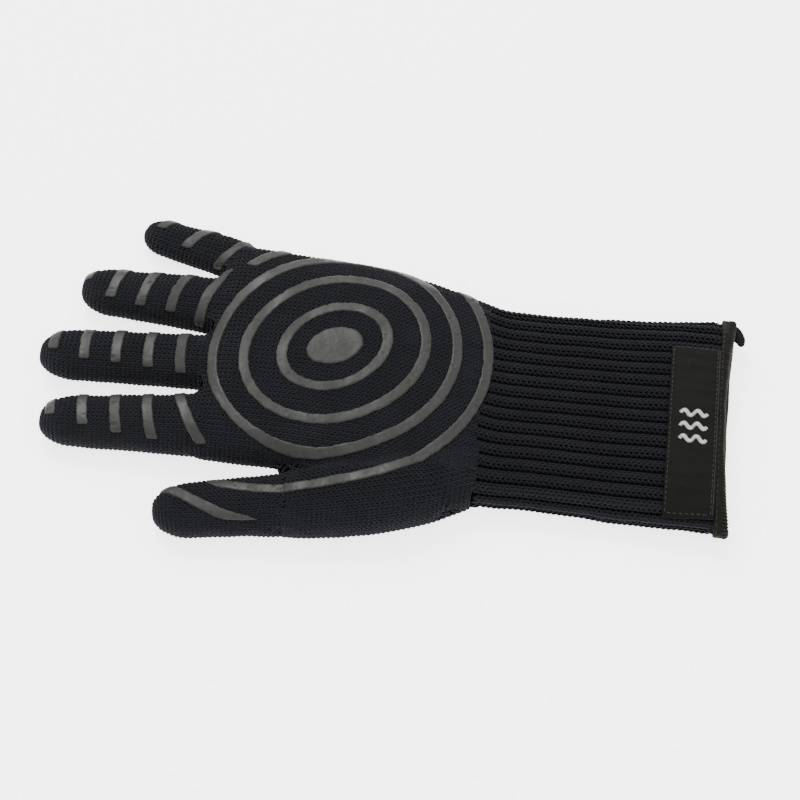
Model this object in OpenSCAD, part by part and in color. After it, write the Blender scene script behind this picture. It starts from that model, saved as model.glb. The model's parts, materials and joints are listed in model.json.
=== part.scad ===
// Heat resistant glove for a left or right hand, lying on its back with the grip side up.
// +X runs along the hand to the cuff opening, +Y away from the thumb, +Z up.

/* [Hand] */
// Length of the hand from the finger webs to the wrist
hand_l = 136; // [120:1:150]
// Half thickness of the hand at the middle of the palm
palm_half_t = 13.5; // [11:0.5:15]
// Half width of the palm at the finger webs
web_half_w = 64.5; // [64:0.5:68]
// Half width of the thumb root where it leaves the palm
thumb_root_half_w = 17; // [16:0.5:18]

/* [Fingers and thumb, little finger first] */
// Length of each stall from its web to its tip
stall_l = [45, 67, 79, 73, 62]; // [40:1:85]
// Half width of each stall at its root
root_half_w = [12, 16.5, 15.6, 17.6, 16.4]; // [10:0.1:18]
// Half width of each stall where its round tip begins
tip_half_w = [11, 14, 14.8, 14.4, 14.8]; // [9:0.1:16]
// Half thickness of each stall at its root
root_half_t = [8.8, 10, 10.2, 10.2, 10.2]; // [8:0.1:11]
// Half thickness of each stall where its round tip begins
tip_half_t = [7.8, 8.6, 8.8, 8.8, 9]; // [7:0.1:10]
// Angle of each stall away from the hand's length, towards +Y
splay = [16, 4, -1.5, -3.5, -9.5]; // [-12:0.5:18]
// Distance of each stall's root in front of the wrist
root_x = [135, 136, 136, 135, 86.5]; // [80:0.5:140]
// Offset of each stall's root from the hand's centre line
root_y = [73.5, 42.5, 8.9, -26.8, -65.5]; // [-70:0.1:80]
// Where each stall bends, measured from its web
bends = [[4, 21.5, 33], [4, 26, 42.5], [4, 31.5, 61], [4, 24, 54.5], [4, 37]]; // [3:0.5:70]

/* [Cuff] */
// Length of the cuff from the wrist to its opening
cuff_l = 109; // [80:1:140]
// Half width of the cuff at the wrist
wrist_half_w = 57.5; // [56:0.5:60]
// Half width of the cuff at its opening
mouth_half_w = 60; // [57:0.5:63]
// Half thickness of the cuff at its opening
mouth_half_t = 9; // [8:0.5:11]
// Number of knitted ribs round the cuff
ribs = 36; // [24:2:40]
// Height of a rib above the groove beside it
rib_h = 0.8; // [0.4:0.1:1.2]

/* [Layers] */
// Thickness of the outer knit
shell_t = 2; // [1.5:0.1:2.5]
// Thickness of the cotton liner
liner_t = 1.5; // [1:0.1:2]
// Room between the knit and the liner
layer_gap = 0.2; // [0.1:0.1:0.4]
// Thickness of the silicone grip print
grip_t = 0.8; // [0.5:0.1:1.2]
// Width of a line of the grip print
grip_w = 5; // [4:0.5:6]
// Distance from one ring of the print to the next
ring_pitch = 15; // [14:0.5:16]
// Radius of the solid dot in the middle of the print
dot_r = 12; // [10:0.5:14]

/* [Cuff trim] */
// Width of the binding tape round the opening
tape_w = 6; // [5:0.5:10]
// Thickness of the binding tape
tape_t = 1.2; // [0.8:0.1:1.6]
// Length of the woven label across the cuff
label_l = 91; // [70:1:95]
// Width of the woven label
label_w = 23; // [18:1:26]
// Thickness of the woven label
label_t = 0.6; // [0.4:0.1:0.8]
// Offset of the label's middle from the cuff's centre line
label_y = -8; // [-9:0.5:9]

/* [Joints] */
// Depth of the bending axes below the palm side of a stall
axis_depth = 3.2; // [3:0.1:4]
// Room between two solids that meet at a bend
joint_gap = 0.5; // [0.4:0.1:0.8]
// Half of the opening angle of a bend's groove on the palm side
groove_angle = 38; // [36:1:40]
// Half of the opening angle of the wrist's grooves
wrist_groove_angle = 22; // [21:1:24]

/* [Hidden] */
FINGERS = ["little", "ring", "middle", "index"];
THUMB = 4;
STALLS = concat(FINGERS, ["thumb"]);
FINGER_PARTS = ["proximal", "middle", "distal"];
THUMB_PARTS = ["base", "tip"];
// Every bending part of a stall, as [stall, part]
SEGMENTS = [for (f = [0:THUMB], k = [0:len(bends[f]) - 1]) [f, k]];
// The parts that carry a piece of the grip print
GRIP_SEGMENTS = [for (s = SEGMENTS) if (s != [0, 2]) s];

// How far the bottom of every soft part is flattened where it lies
flat = 0.8;
// Squareness of the palm's and the stalls' cross-sections, where 2 is an ellipse
palm_power = 2.5;
stall_power = 2.25;
// Insets of the two faces of each layer from the outside of the knit
shell_in = shell_t;
liner_out = shell_t + layer_gap;
liner_in = liner_out + liner_t;
// Corners round each cross-section
palm_n = 24;
stall_n = 20;
liner_n = 16;
cuff_n = 3 * ribs;
// How far a cutting form runs past the end that it opens
past = 5;
// Taller than the glove, for shapes that cut straight down through it, which start at cut_z
tall = 30;
cut_z = palm_half_t * 0.5;
// Shortest slice of a stall's tip
least_slice = 4;
// Roundness of a stall's tip as seen from the side
tip_power = 0.6;
// Room between two pieces that lie on each other, so that they stay separate solids
print_gap = 0.06;
sewn_gap = 0.12;

// The loose end of the tape stands off the edge by tail_gap and is tail_l long
tail_l = 3.5;
tail_gap = 0.05;
// The shift that centres the whole outline on the origin
tip_of_middle = root_x[2] + stall_l[2] * cos(splay[2]);
centre_x = (cuff_l + tail_gap + tail_l - tip_of_middle) / 2;
centre_y = (side_reach([0, 2], 1) + side_reach([THUMB, 1], -1)) / 2;

// The print's centre in front of the wrist and beside the centre line
print_x = -75;
print_y = 13;
first_ring_r = 22.5;
// The outermost ring turns into a wider curve towards the thumb at this angle
turn_angle = -70;
wide_r = 143;

// ---- Helpers ----

function segment_name(s) =
    str(STALLS[s[0]], "_", s[0] == THUMB ? THUMB_PARTS[s[1]] : FINGER_PARTS[s[1]]);
function mix(a, b, k) = a + (b - a) * min(1, max(0, k));
function power(v, p) = sign(v) * pow(abs(v), p);

// One rounded cross-section: half width a, half thickness t, centre height z, bottom cut at height low
function section(a, t, z, low, n, p) = [for (i = [0:n - 1]) let (q = 360 * i / n)
    [a * power(cos(q), 2 / p), max(low, z + t * power(sin(q), 2 / p))]];

// Faces of a closed form through m rings of n points
function form_faces(m, n) = concat(
    [[for (i = [0:n - 1]) i]],
    [for (j = [0:m - 2], i = [0:n - 1]) let (a = j * n + i, b = j * n + (i + 1) % n)
        [a, a + n, b + n, b]],
    [[for (i = [n - 1:-1:0]) (m - 1) * n + i]]);

// One convex slice of a form, between two rings
module slice(a, b) {
    hull() polyhedron(points = concat(a, b), faces = form_faces(2, len(a)));
}

module form(rings) {
    for (j = [0:len(rings) - 2]) slice(rings[j], rings[j + 1]);
}

// A wall between two sets of rings, open at its first ring, and at its last ring too unless tips are given
module wall(outer, inner, tips = []) {
    m = len(outer);
    n = len(outer[0]);
    in0 = m * n;
    pole = 2 * m * n;
    sides = [for (j = [0:m - 2], i = [0:n - 1]) let (a = j * n + i, b = j * n + (i + 1) % n)
        each [[a, a + n, b + n], [a, b + n, b],
              [in0 + a, in0 + b + n, in0 + a + n], [in0 + a, in0 + b, in0 + b + n]]];
    mouth = [for (i = [0:n - 1]) let (b = (i + 1) % n)
        each [[i, b, in0 + b], [i, in0 + b, in0 + i]]];
    end0 = (m - 1) * n;
    end = len(tips) == 0
        ? [for (i = [0:n - 1]) let (a = end0 + i, b = end0 + (i + 1) % n)
            each [[a, in0 + b, b], [a, in0 + a, in0 + b]]]
        : [for (i = [0:n - 1]) let (a = end0 + i, b = end0 + (i + 1) % n)
            each [[a, pole, b], [in0 + b, pole + 1, in0 + a]]];
    points = concat([for (r = outer) each r], [for (r = inner) each r], tips);
    polyhedron(points = points, faces = concat(sides, mouth, end));
}

// ---- Stalls: s runs from the web to the tip, along -X before the splay ----

function tip_start(f) = stall_l[f] - tip_half_w[f];
function stall_a(f, s) = mix(root_half_w[f], tip_half_w[f], s / tip_start(f));
function stall_t(f, s) = mix(root_half_t[f], tip_half_t[f], s / tip_start(f));
function stall_z(f, s) = stall_t(f, s) - flat;
function axis_z(f, s) = stall_z(f, s) + stall_t(f, s) - axis_depth;

// A cross-section of stall f at s, inset by d, whose palm side leans by the angle lean from the axis up
function stall_ring(f, s, d, n, lean = 0) =
    [for (p = section(stall_a(f, s) - d, stall_t(f, s) - d, stall_z(f, s), d, n, stall_power))
        [-s - max(0, p[1] - axis_z(f, s)) * tan(lean), p[0], p[1]]];

// The cross-sections of a stall's round tip, inset by d
function tip_rings(f, d, n, steps) = let (s0 = tip_start(f), r = tip_half_w[f] - d)
    [for (k = [1:steps - 1]) let (q = 90 * k / steps, t = (stall_t(f, s0) - d) * pow(cos(q), tip_power))
        [for (p = section(r * cos(q), t, stall_z(f, s0), d, n, stall_power))
            [-s0 - r * sin(q), p[0], p[1]]]];

function tip_pole(f, d) = [-stall_l[f] + d, 0, stall_z(f, tip_start(f))];
function is_tip(s) = s[1] == len(bends[s[0]]) - 1;
function part_start(s) = bends[s[0]][s[1]] + joint_gap / 2;
function part_end(s) = bends[s[0]][s[1] + 1] - joint_gap / 2;

// All the cross-sections of one bending part, inset by d, with its ends moved out by run
function part_rings(s, d, n, run = 0) = let (f = s[0], s0 = part_start(s) - run)
    is_tip(s)
    ? concat([stall_ring(f, s0, d, n, groove_angle)],
             s0 + least_slice < tip_start(f) ? [stall_ring(f, tip_start(f), d, n)] : [],
             [for (r = tip_rings(f, d, n, 6)) if (-max([for (p = r) p[0]]) > s0 + least_slice) r])
    : [stall_ring(f, s0, d, n, groove_angle), stall_ring(f, part_end(s) + run, d, n, -groove_angle)];

module at_stall(f) {
    translate([-root_x[f], root_y[f], 0]) rotate([0, 0, -splay[f]]) children();
}

// How far a bending part reaches to one side of the centre line
function side_reach(s, side) = let (f = s[0]) root_y[f] + side * max([for (r = part_rings(s, 0, stall_n))
    for (p = r) side * (p[1] * cos(splay[f]) - p[0] * sin(splay[f]))]);

module part_wall(s, d_out, d_in, n) {
    tips = is_tip(s) ? [tip_pole(s[0], d_out), tip_pole(s[0], d_in)] : [];
    at_stall(s[0]) wall(part_rings(s, d_out, n), part_rings(s, d_in, n), tips);
}

// ---- Hand: a palm and a thumb root, with a short stub for every stall ----

// [distance in front of the wrist, centre, half width, half thickness]
palm_stations = [
    [hand_l - 2, 17.5, web_half_w, 10.4], [hand_l - 16, 15.5, 63.5, 12],
    [hand_l * 0.65, 12.5, 62, palm_half_t], [hand_l * 0.37, 9, 61.5, palm_half_t],
    [hand_l * 0.12, 2.5, 60, 11], [0, 0, wrist_half_w, mouth_half_t]];
root_stations = [
    [root_x[THUMB], root_y[THUMB], thumb_root_half_w, 10.5], [66, -62, 19, 12],
    [40, -55.5, 20, 12], [22, -49, 19.5, 11], [4, -39.5, 18, 9.2]];

function station_ring(c, d, n, shift = 0) =
    [for (p = section(c[2] - d, c[3] - d, c[3] - flat, d, n, palm_power)) [-c[0] + shift, c[1] + p[0], p[1]]];

// The wrist's cross-section leans both ways from its middle height
wrist_z = mouth_half_t - flat;
function wrist_ring(d, n, side, extra = 0) =
    [for (p = section(wrist_half_w - d, mouth_half_t - d, wrist_z, d, n, palm_power))
        [side * (joint_gap / 2 + extra + abs(p[1] - wrist_z) * tan(wrist_groove_angle)), p[0], p[1]]];

// The whole hand inset by d, with every stub and the wrist running on by run, so that it cuts through
module hand_form(d, run = 0) {
    rings = concat(
        [station_ring(palm_stations[0], d, palm_n, d)],
        [for (k = [1:len(palm_stations) - 2]) station_ring(palm_stations[k], d, palm_n)],
        [wrist_ring(d, palm_n, -1, -run)]);
    form(rings);
    form(concat([station_ring(root_stations[0], d, stall_n, d)],
                [for (k = [1:len(root_stations) - 1]) station_ring(root_stations[k], d, stall_n)]));
    for (f = [0:THUMB]) at_stall(f) stub(f, d, run);
}

module stub(f, d, run) {
    end = bends[f][0] - joint_gap / 2;
    slice(stall_ring(f, -6 - abs(d), d, stall_n), stall_ring(f, end + run, d, stall_n, -groove_angle));
}

module hand_wall(d_out, d_in) {
    difference() {
        hand_form(d_out);
        hand_form(d_in, past);
    }
}

module hand_shell() color("#2b2b30") hand_wall(0, shell_in);
module hand_liner() color("#c9c4b6") hand_wall(liner_out, liner_in);

// ---- Cuff ----

// The opening is lifted off the floor by the tape under it
lift = tape_t + 0.1;
// [distance behind the wrist, half width, half thickness, lift]
cuff_stations = [[18, 57, 8.8, 0], [60, 58.5, 8.6, 0],
                 [cuff_l - tape_w - 1, mouth_half_w, mouth_half_t, lift],
                 [cuff_l - tape_t, mouth_half_w, mouth_half_t, lift]];
function rib_wave(i, h) = h * (i % 3 == 0 ? 0 : -0.5);

function cuff_ring(c, d, n, wave) =
    [for (i = [0:n - 1]) let (w = rib_wave(i, wave) - d,
                              p = section(c[1] + w, c[2] + w, c[2] - flat + c[3], d + c[3], n, palm_power)[i])
        [c[0], p[0], p[1]]];
function cuff_rings(d, n, wave = 0) = concat([wrist_ring(d, n, 1)],
    [for (c = cuff_stations) cuff_ring(c, d, n, wave)]);

// Walls along +X are turned inside out by mirroring their order of points
function turned(rings) = [for (r = rings) [for (i = [len(r) - 1:-1:0]) r[i]]];

module cuff_shell() color("#26262b")
    wall(turned(cuff_rings(0, cuff_n, rib_h)), turned(cuff_rings(shell_in, cuff_n)));
module cuff_liner() color("#c9c4b6")
    wall(turned(cuff_rings(liner_out, 2 * palm_n)), turned(cuff_rings(liner_in, 2 * palm_n)));

// ---- Silicone grip print: rings round one centre, carried on over the fingers ----

function ring_r(k) = k == 1 ? first_ring_r : 10 + ring_pitch * k;
dark_grip = "#6b6a64";

// A chain of straight pieces along an arc, as tall as anything that it has to reach
module arc_chain(cx, cy, r, a0, a1, w = grip_w) {
    steps = max(8, ceil(abs(a1 - a0) * r / 340));
    for (i = [0:steps - 1]) hull() {
        for (k = [i, i + 1]) let (q = mix(a0, a1, k / steps))
            translate([cx + r * cos(q), cy + r * sin(q), 0]) rotate([0, 0, q])
                translate([-w / 2, -0.01, cut_z]) cube([w, 0.02, tall]);
    }
}

module print_arc(k, a0, a1) {
    arc_chain(print_x, print_y, ring_r(k), a0, a1);
}

module hand_print() {
    intersection() {
        difference() {
            hand_form(-grip_t);
            hand_form(-print_gap, 0.2);
        }
        children();
    }
}

module grip_dot() color(dark_grip) hand_print()
    translate([print_x, print_y, palm_half_t]) cylinder(r = dot_r, h = tall, $fn = 40);
module grip_ring_1() color(dark_grip) hand_print() print_arc(1, 0, 360);
module grip_ring_2() color(dark_grip) hand_print() print_arc(2, 0, 360);
module grip_ring_3() color(dark_grip) hand_print() print_arc(3, 0, 360);
module wide_arc(a0, a1) {
    d = ring_r(4) - wide_r;
    arc_chain(print_x + d * cos(turn_angle), print_y + d * sin(turn_angle), wide_r, a0, a1);
}

module grip_outer_ring() color(dark_grip) hand_print() {
    print_arc(4, 52, turn_angle);
    wide_arc(turn_angle, turn_angle - 14.5);
}

module grip_root_bars() color(dark_grip) hand_print() {
    print_arc(4, 122, 138);
    print_arc(4, 146, 159);
    print_arc(4, 199, 217);
    print_arc(5, 128, 140);
}

// Where ring k crosses a line along stall f that lies off to its +Y side
function crossing(f, k, off = 3) = let (
    d = [-cos(splay[f]), sin(splay[f])],
    p = [-root_x[f] + off * sin(splay[f]) - print_x, root_y[f] + off * cos(splay[f]) - print_y],
    b = p * d)
    -b + sqrt(b * b - p * p + pow(ring_r(k), 2));

// The layer that the print fills on one bending part
module part_skin(s) {
    at_stall(s[0]) difference() {
        solid_part(s, -grip_t);
        solid_part(s, -print_gap, 1);
    }
}

// The bars on one bending part of a finger: they start beyond its +Y edge and stop short of the other
module finger_grip(s) {
    f = s[0];
    last = is_tip(s) ? stall_l[f] - 4 : part_end(s) + 1;
    window = 0.95 * root_half_w[f];
    intersection() {
        part_skin(s);
        at_stall(f) translate([-stall_l[f] - 5, -0.35 * window, 0])
            cube([stall_l[f] + 5, 1.35 * window, tall]);
        union() for (k = [4:8]) if (crossing(f, k) > part_start(s) && crossing(f, k) < last)
            print_arc(k, 115, 205);
    }
}

// One bending part as a solid, with its ends moved out by run
module solid_part(s, d, run = 0) {
    rings = part_rings(s, d, stall_n, run);
    form(is_tip(s) ? concat(rings, [tip_rings(s[0], d, stall_n, 40)[38]]) : rings);
}

module thumb_grip(s) {
    intersection() {
        part_skin(s);
        union() {
            if (s[1] == 0) wide_arc(turn_angle - 14.5, turn_angle - 27);
            thumb_bar();
        }
    }
}

// The one bar of the thumb lies slantwise along it, narrowing from its middle to both ends
module thumb_bar(middle = [-32, -0.5], reach = [18, -8.5], end_d = 1.5) {
    at_stall(THUMB) for (side = [-1, 1]) hull() {
        translate([middle[0], middle[1], cut_z]) cylinder(d = grip_w, h = tall, $fn = 24);
        translate([middle[0] + side * reach[0], middle[1] + side * reach[1], cut_z])
            cylinder(d = end_d, h = tall, $fn = 24);
    }
}

// ---- Trim of the cuff ----

// Height of the cuff's top over its centre line at x behind the wrist and y beside it, at offset h
function cuff_at(x) = let (a = cuff_stations[1], b = cuff_stations[2], k = (x - a[0]) / (b[0] - a[0]))
    [for (i = [0:3]) mix(a[i], b[i], k)];
function cuff_top(x, y, h) = let (c = cuff_at(x)) c[2] - flat + c[3] + (c[2] + h)
    * pow(max(0, 1 - pow(abs(y) / (c[1] + h), palm_power)), 1 / palm_power);

// A tape folded over the edge: its outside, its fold and its inside, swept round the opening
module binding_tape() color("#3a342a") {
    n = 2 * palm_n;
    x0 = cuff_l - tape_w;
    x1 = cuff_l - tape_t + 0.1;
    x2 = cuff_l;
    out = 0.1 + tape_t;
    // Corners of the folded tape's section, as [x, offset from the outside of the knit]
    corners = [[x0, 0.1], [x0, out], [x2 - 0.4, out], [x2, out - 0.6], [x2, -liner_in - out + 0.7],
               [x2 - 0.4, -liner_in - out], [x0 + 1, -liner_in - out], [x0 + 1, -liner_in - 0.1],
               [x1, -liner_in - 0.1], [x1, 0.1]];
    m = len(corners);
    rings = [for (c = corners) [for (p = section(mouth_half_w + c[1], mouth_half_t + c[1],
        mouth_half_t - flat + lift, max(0, lift - c[1]), n, palm_power)) [c[0], p[0], p[1]]]];
    polyhedron(points = [for (r = rings) each r],
        faces = [for (j = [0:m - 1], i = [0:n - 1])
            let (a = j * n + i, b = j * n + (i + 1) % n, c = ((j + 1) % m) * n + (i + 1) % n,
                 e = ((j + 1) % m) * n + i)
            each [[a, c, b], [a, e, c]]]);
}

// The loose end of the tape, folded back on itself at the corner of the opening
module binding_tail(w = 13, t = 1.6, from_edge = 16) color("#3a342a")
    translate([cuff_l + tail_gap, mouth_half_w - from_edge, wrist_z]) hull() {
        translate([0, 0, -t / 2]) cube([0.6, w, t]);
        for (y = [3, w - 4]) translate([tail_l - 1, y, 0]) cylinder(r = 1, h = t, center = true, $fn = 24);
    }

// One short stitch lying on the cuff's top side at height h over the knit, at x and y, turned by the angle a
stitch_w = 0.5;
stitch_t = 0.4;
module stitch(x, y, h, a, l = 2.4) {
    slope = (cuff_top(x, y + 0.5, h) - cuff_top(x, y - 0.5, h));
    translate([x, y, cuff_top(x, y, h)]) rotate([atan(slope), 0, 0]) rotate([0, 0, a])
        translate([0, 0, sewn_gap + stitch_t / 2]) cube([l, stitch_w, stitch_t], center = true);
}

// The row of stitches along the tape reaches this far to each side of the centre line
row_reach = 48;
module binding_stitches() color("#1c1a17")
    for (y = [-row_reach:4:row_reach]) stitch(cuff_l - tape_w + 1.6, y, tape_t + 0.1, 90);

label_x = cuff_l - tape_w - label_w - 0.3;
label_h = 0.1;
// The label's stitches stand this far in from its edges
margin = 1.2;
module label() color("#2e2c29") intersection() {
    translate([label_x, label_y - label_l / 2, wrist_z]) cube([label_w, label_l, tall]);
    difference() {
        form(cuff_rings(-label_h - label_t, 2 * palm_n));
        form(cuff_rings(-label_h, 2 * palm_n));
    }
}

module label_stitches() color("#8d8a80") {
    edge = label_l / 2 - margin;
    for (y = [2 - edge:3.2:edge - 2]) for (x = [label_x + margin, label_x + label_w - margin])
        stitch(x, label_y + y, label_h + label_t, 90, 2);
    for (x = [label_x + 4:3:label_x + label_w - 4]) for (side = [-1, 1])
        stitch(x, label_y + side * edge, label_h + label_t, 0, 1.8);
}

// Three plain wavy lines, the general sign for heat
module label_emblem(pitch = 7, wave_h = 1.6, line_r = 0.9, thread_t = 0.4) color("#d8d6cf") intersection() {
    union() for (row = [-1, 0, 1]) for (k = [0:11]) hull() for (j = [k, k + 1])
        translate([label_x + 5 + j, label_y + row * pitch + wave_h * sin(60 * j), wrist_z])
            cylinder(r = line_r, h = tall, $fn = 12);
    difference() {
        form(cuff_rings(-label_h - label_t - print_gap - thread_t, 2 * palm_n));
        form(cuff_rings(-label_h - label_t - print_gap, 2 * palm_n));
    }
}

module segment_shell(s) color("#2b2b30") part_wall(s, 0, shell_in, stall_n);
module segment_liner(s) color("#c9c4b6") part_wall(s, liner_out, liner_in, liner_n);
module segment_grip(s) color(dark_grip) {
    if (s[0] == THUMB) thumb_grip(s);
    else finger_grip(s);
}

// ---- The glove, with its outline centred on the origin ----

translate([-centre_x, -centre_y, 0]) {
    hand_shell();
    hand_liner();
    grip_dot();
    grip_ring_1();
    grip_ring_2();
    grip_ring_3();
    grip_outer_ring();
    grip_root_bars();
    cuff_shell();
    cuff_liner();
    binding_tape();
    binding_tail();
    binding_stitches();
    label();
    label_stitches();
    label_emblem();
    for (s = SEGMENTS) {
        segment_shell(s);
        segment_liner(s);
    }
    for (s = GRIP_SEGMENTS)
        segment_grip(s);
}
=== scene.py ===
import json
import math

import bpy
import numpy as np
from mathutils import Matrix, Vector, noise
from mathutils.bvhtree import BVHTree


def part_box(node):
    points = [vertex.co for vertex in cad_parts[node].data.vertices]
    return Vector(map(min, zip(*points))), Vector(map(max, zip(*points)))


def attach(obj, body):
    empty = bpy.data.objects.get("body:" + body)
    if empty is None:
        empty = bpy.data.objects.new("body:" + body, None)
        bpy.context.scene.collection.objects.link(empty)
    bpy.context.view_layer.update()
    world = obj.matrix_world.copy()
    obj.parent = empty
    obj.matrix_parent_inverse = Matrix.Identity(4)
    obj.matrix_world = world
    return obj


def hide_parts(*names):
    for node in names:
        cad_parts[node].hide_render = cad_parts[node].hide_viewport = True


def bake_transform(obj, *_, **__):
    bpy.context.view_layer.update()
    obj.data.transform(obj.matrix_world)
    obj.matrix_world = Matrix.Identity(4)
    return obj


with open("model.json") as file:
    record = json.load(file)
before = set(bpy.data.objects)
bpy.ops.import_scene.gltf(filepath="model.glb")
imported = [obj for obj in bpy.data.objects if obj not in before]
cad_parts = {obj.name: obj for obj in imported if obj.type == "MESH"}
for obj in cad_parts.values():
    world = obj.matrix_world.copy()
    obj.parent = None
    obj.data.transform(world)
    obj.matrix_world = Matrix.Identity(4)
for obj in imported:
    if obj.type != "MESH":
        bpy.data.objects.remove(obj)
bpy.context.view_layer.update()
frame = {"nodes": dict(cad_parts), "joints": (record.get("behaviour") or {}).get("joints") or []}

MM = 0.001

# ---- The frame: joints give where the wrist and the fingers are ----

JOINTS = {j["name"]: j for j in frame["joints"]}


def joint_place(name):
    return np.array(JOINTS[name]["pos_m"]) / MM


WRIST = joint_place("wrist")
ROOT_BEND = 4.0        # from a finger's web to its first bend
TIP_TAPER = 1.3        # length of a stall's rounded end, in half widths
FLAT = 0.8             # how far the soft forms sink into the floor
PALM_POWER = 2.5       # squareness of the cross-sections, where 2 is an ellipse
STALL_POWER = 2.25
LIFT = 1.3             # the tape under the cuff's opening holds it off the floor
CUFF_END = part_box("cuff_shell")[1].x / MM - WRIST[0]

# Stations along the hand and cuff: distance behind the wrist, centre, half width, half thickness, lift
HAND = np.array([
    (-134.0, 17.5, 64.5, 10.4, 0), (-120.0, 15.5, 63.5, 12.0, 0), (-88.4, 12.5, 62.0, 13.5, 0),
    (-50.3, 9.0, 61.5, 13.5, 0), (-16.3, 2.5, 60.0, 11.0, 0), (0.0, 0.0, 57.5, 9.0, 0),
    (18.0, 0.0, 57.0, 8.8, 0), (60.0, 0.0, 58.5, 8.6, 0), (100.0, 0.0, 60.0, 9.0, LIFT),
    (CUFF_END, 0.0, 60.0, 9.0, LIFT)])
THUMB_ROOT = np.array([
    (-86.5, -65.5, 17.0, 10.5, 0), (-66.0, -62.0, 19.0, 12.0, 0), (-40.0, -55.5, 20.0, 12.0, 0),
    (-22.0, -49.0, 19.5, 11.0, 0), (-4.0, -39.5, 18.0, 9.2, 0)])


class Stall:
    """One finger or the thumb: a tube that starts at its web and runs along its own direction."""

    def __init__(self, name, length, widths, depths, stitches, bends):
        axis = JOINTS[f"{name}_{bends[0]}_bend"]["axis"]
        self.name, self.length, self.stitches = name, length, stitches
        self.widths, self.depths = widths, depths
        self.side = np.array(axis[:2])
        self.along = np.array((-axis[1], axis[0]))
        self.root = joint_place(f"{name}_{bends[0]}_bend")[:2] - ROOT_BEND * self.along
        self.hinges = [float((joint_place(f"{name}_{b}_bend")[:2] - self.root) @ self.along) for b in bends]
        self.tip_long = TIP_TAPER * widths[1]
        self.tip_start = length - self.tip_long
        parts = ("base", "tip") if name == "thumb" else ("proximal", "middle", "distal")
        self.bodies = ["hand"] + [f"{name}_{p}" for p in parts]
        # The pieces meet midway between two bends
        middles = [(a + b) / 2 for a, b in zip(self.hinges, self.hinges[1:])]
        self.cuts = [0.0, *middles, length + 20]

    def half_width(self, s):
        taper = np.interp(s, (0, self.tip_start), self.widths)
        over = np.clip((s - self.tip_start) / self.tip_long, 0, 0.9999)
        return taper * np.sqrt(1 - over**2)

    def half_depth(self, s):
        taper = np.interp(s, (0, self.tip_start), self.depths)
        over = np.clip((s - self.tip_start) / self.tip_long, 0, 0.9999)
        return taper * (1 - over**2) ** 0.3

    def middle_z(self, s):
        return np.interp(s, (0, self.tip_start), self.depths) - FLAT

    def place(self, s, across, z):
        """Points of the row frame from distance along, offset to the +Y side, and height."""
        s, across = np.asarray(s, float), np.asarray(across, float)
        xy = self.root + s[..., None] * self.along + across[..., None] * self.side
        return np.concatenate([xy, np.broadcast_to(z, s.shape)[..., None]], -1)

    def own(self, points):
        """Distance along the stall and offset to its +Y side of points in the row frame."""
        flat = points[..., :2] - self.root
        return flat @ self.along, flat @ self.side


STALLS = [
    Stall("little", 45, (12.0, 11.0), (8.8, 7.8), 24, ("root", "middle", "tip")),
    Stall("ring", 67, (16.5, 14.0), (10.0, 8.6), 32, ("root", "middle", "tip")),
    Stall("middle", 79, (15.6, 14.8), (10.2, 8.8), 30, ("root", "middle", "tip")),
    Stall("index", 73, (17.6, 14.4), (10.2, 8.8), 34, ("root", "middle", "tip")),
    Stall("thumb", 62, (16.4, 14.8), (10.2, 9.0), 30, ("base", "tip")),
]
THUMB = STALLS[4]

# ---- Camera: a longish lens, from the thumb side and above ----

LOOK_AZIMUTH, LOOK_ELEVATION, LOOK_DISTANCE = 6.5, 55.0, 1.1
AIM = Vector((0.0026, 0.0062, 0.010))
# The aim point stands a little left of and above the middle of the picture, by these parts of its width
AIM_LEFT, AIM_UP = 0.01125, 0.02625
SENSOR, LENS = 36.0, 106.8


def make_camera():
    data = bpy.data.cameras.new("camera")
    camera = bpy.data.objects.new("camera", data)
    bpy.context.scene.collection.objects.link(camera)
    azimuth, elevation = math.radians(LOOK_AZIMUTH), math.radians(LOOK_ELEVATION)
    back = Vector((math.sin(azimuth) * math.cos(elevation), -math.cos(azimuth) * math.cos(elevation),
                   math.sin(elevation)))
    camera.rotation_mode = "QUATERNION"
    camera.rotation_quaternion = (-back).to_track_quat("-Z", "Y")
    right = Vector((math.cos(azimuth), math.sin(azimuth), 0))
    up = back.cross(right)
    span = LOOK_DISTANCE * SENSOR / LENS
    camera.location = AIM + back * LOOK_DISTANCE + right * AIM_LEFT * span - up * AIM_UP * span
    data.sensor_width, data.lens = SENSOR, LENS
    data.clip_start, data.clip_end = 0.05, 20
    bpy.context.scene.camera = camera


make_camera()

# ---- Mesh helpers ----


def new_mesh(name, points, faces, materials):
    """A mesh object from points in millimetres and faces as lists or an array of equal rows."""
    mesh = bpy.data.meshes.new(name)
    faces = [tuple(f) for f in faces] if isinstance(faces, list) else faces.tolist()
    mesh.from_pydata((np.asarray(points) * MM).tolist(), [], faces)
    for m in materials:
        mesh.materials.append(m)
    mesh.shade_smooth()
    piece = bpy.data.objects.new(name, mesh)
    bpy.context.scene.collection.objects.link(piece)
    return piece


def stands_for(replaced):
    """Hides the CAD nodes whose place a piece takes."""
    if replaced:
        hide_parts(*replaced)


def arrays_of(piece):
    """Points in millimetres, face corners as lists, and unit vertex normals of a mesh."""
    mesh = piece.data
    points = np.empty(len(mesh.vertices) * 3)
    mesh.vertices.foreach_get("co", points)
    normals = np.empty(len(mesh.vertices) * 3)
    mesh.vertex_normals.foreach_get("vector", normals)
    return points.reshape(-1, 3) / MM, [tuple(p.vertices) for p in mesh.polygons], normals.reshape(-1, 3)


def applied(piece):
    """Turns the modifiers of a piece into its mesh."""
    graph = bpy.context.evaluated_depsgraph_get()
    mesh = bpy.data.meshes.new_from_object(piece.evaluated_get(graph))
    piece.modifiers.clear()
    old = piece.data
    piece.data = mesh
    bpy.data.meshes.remove(old)


def unit(v):
    return v / np.maximum(np.linalg.norm(v, axis=-1, keepdims=True), 1e-9)


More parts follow.
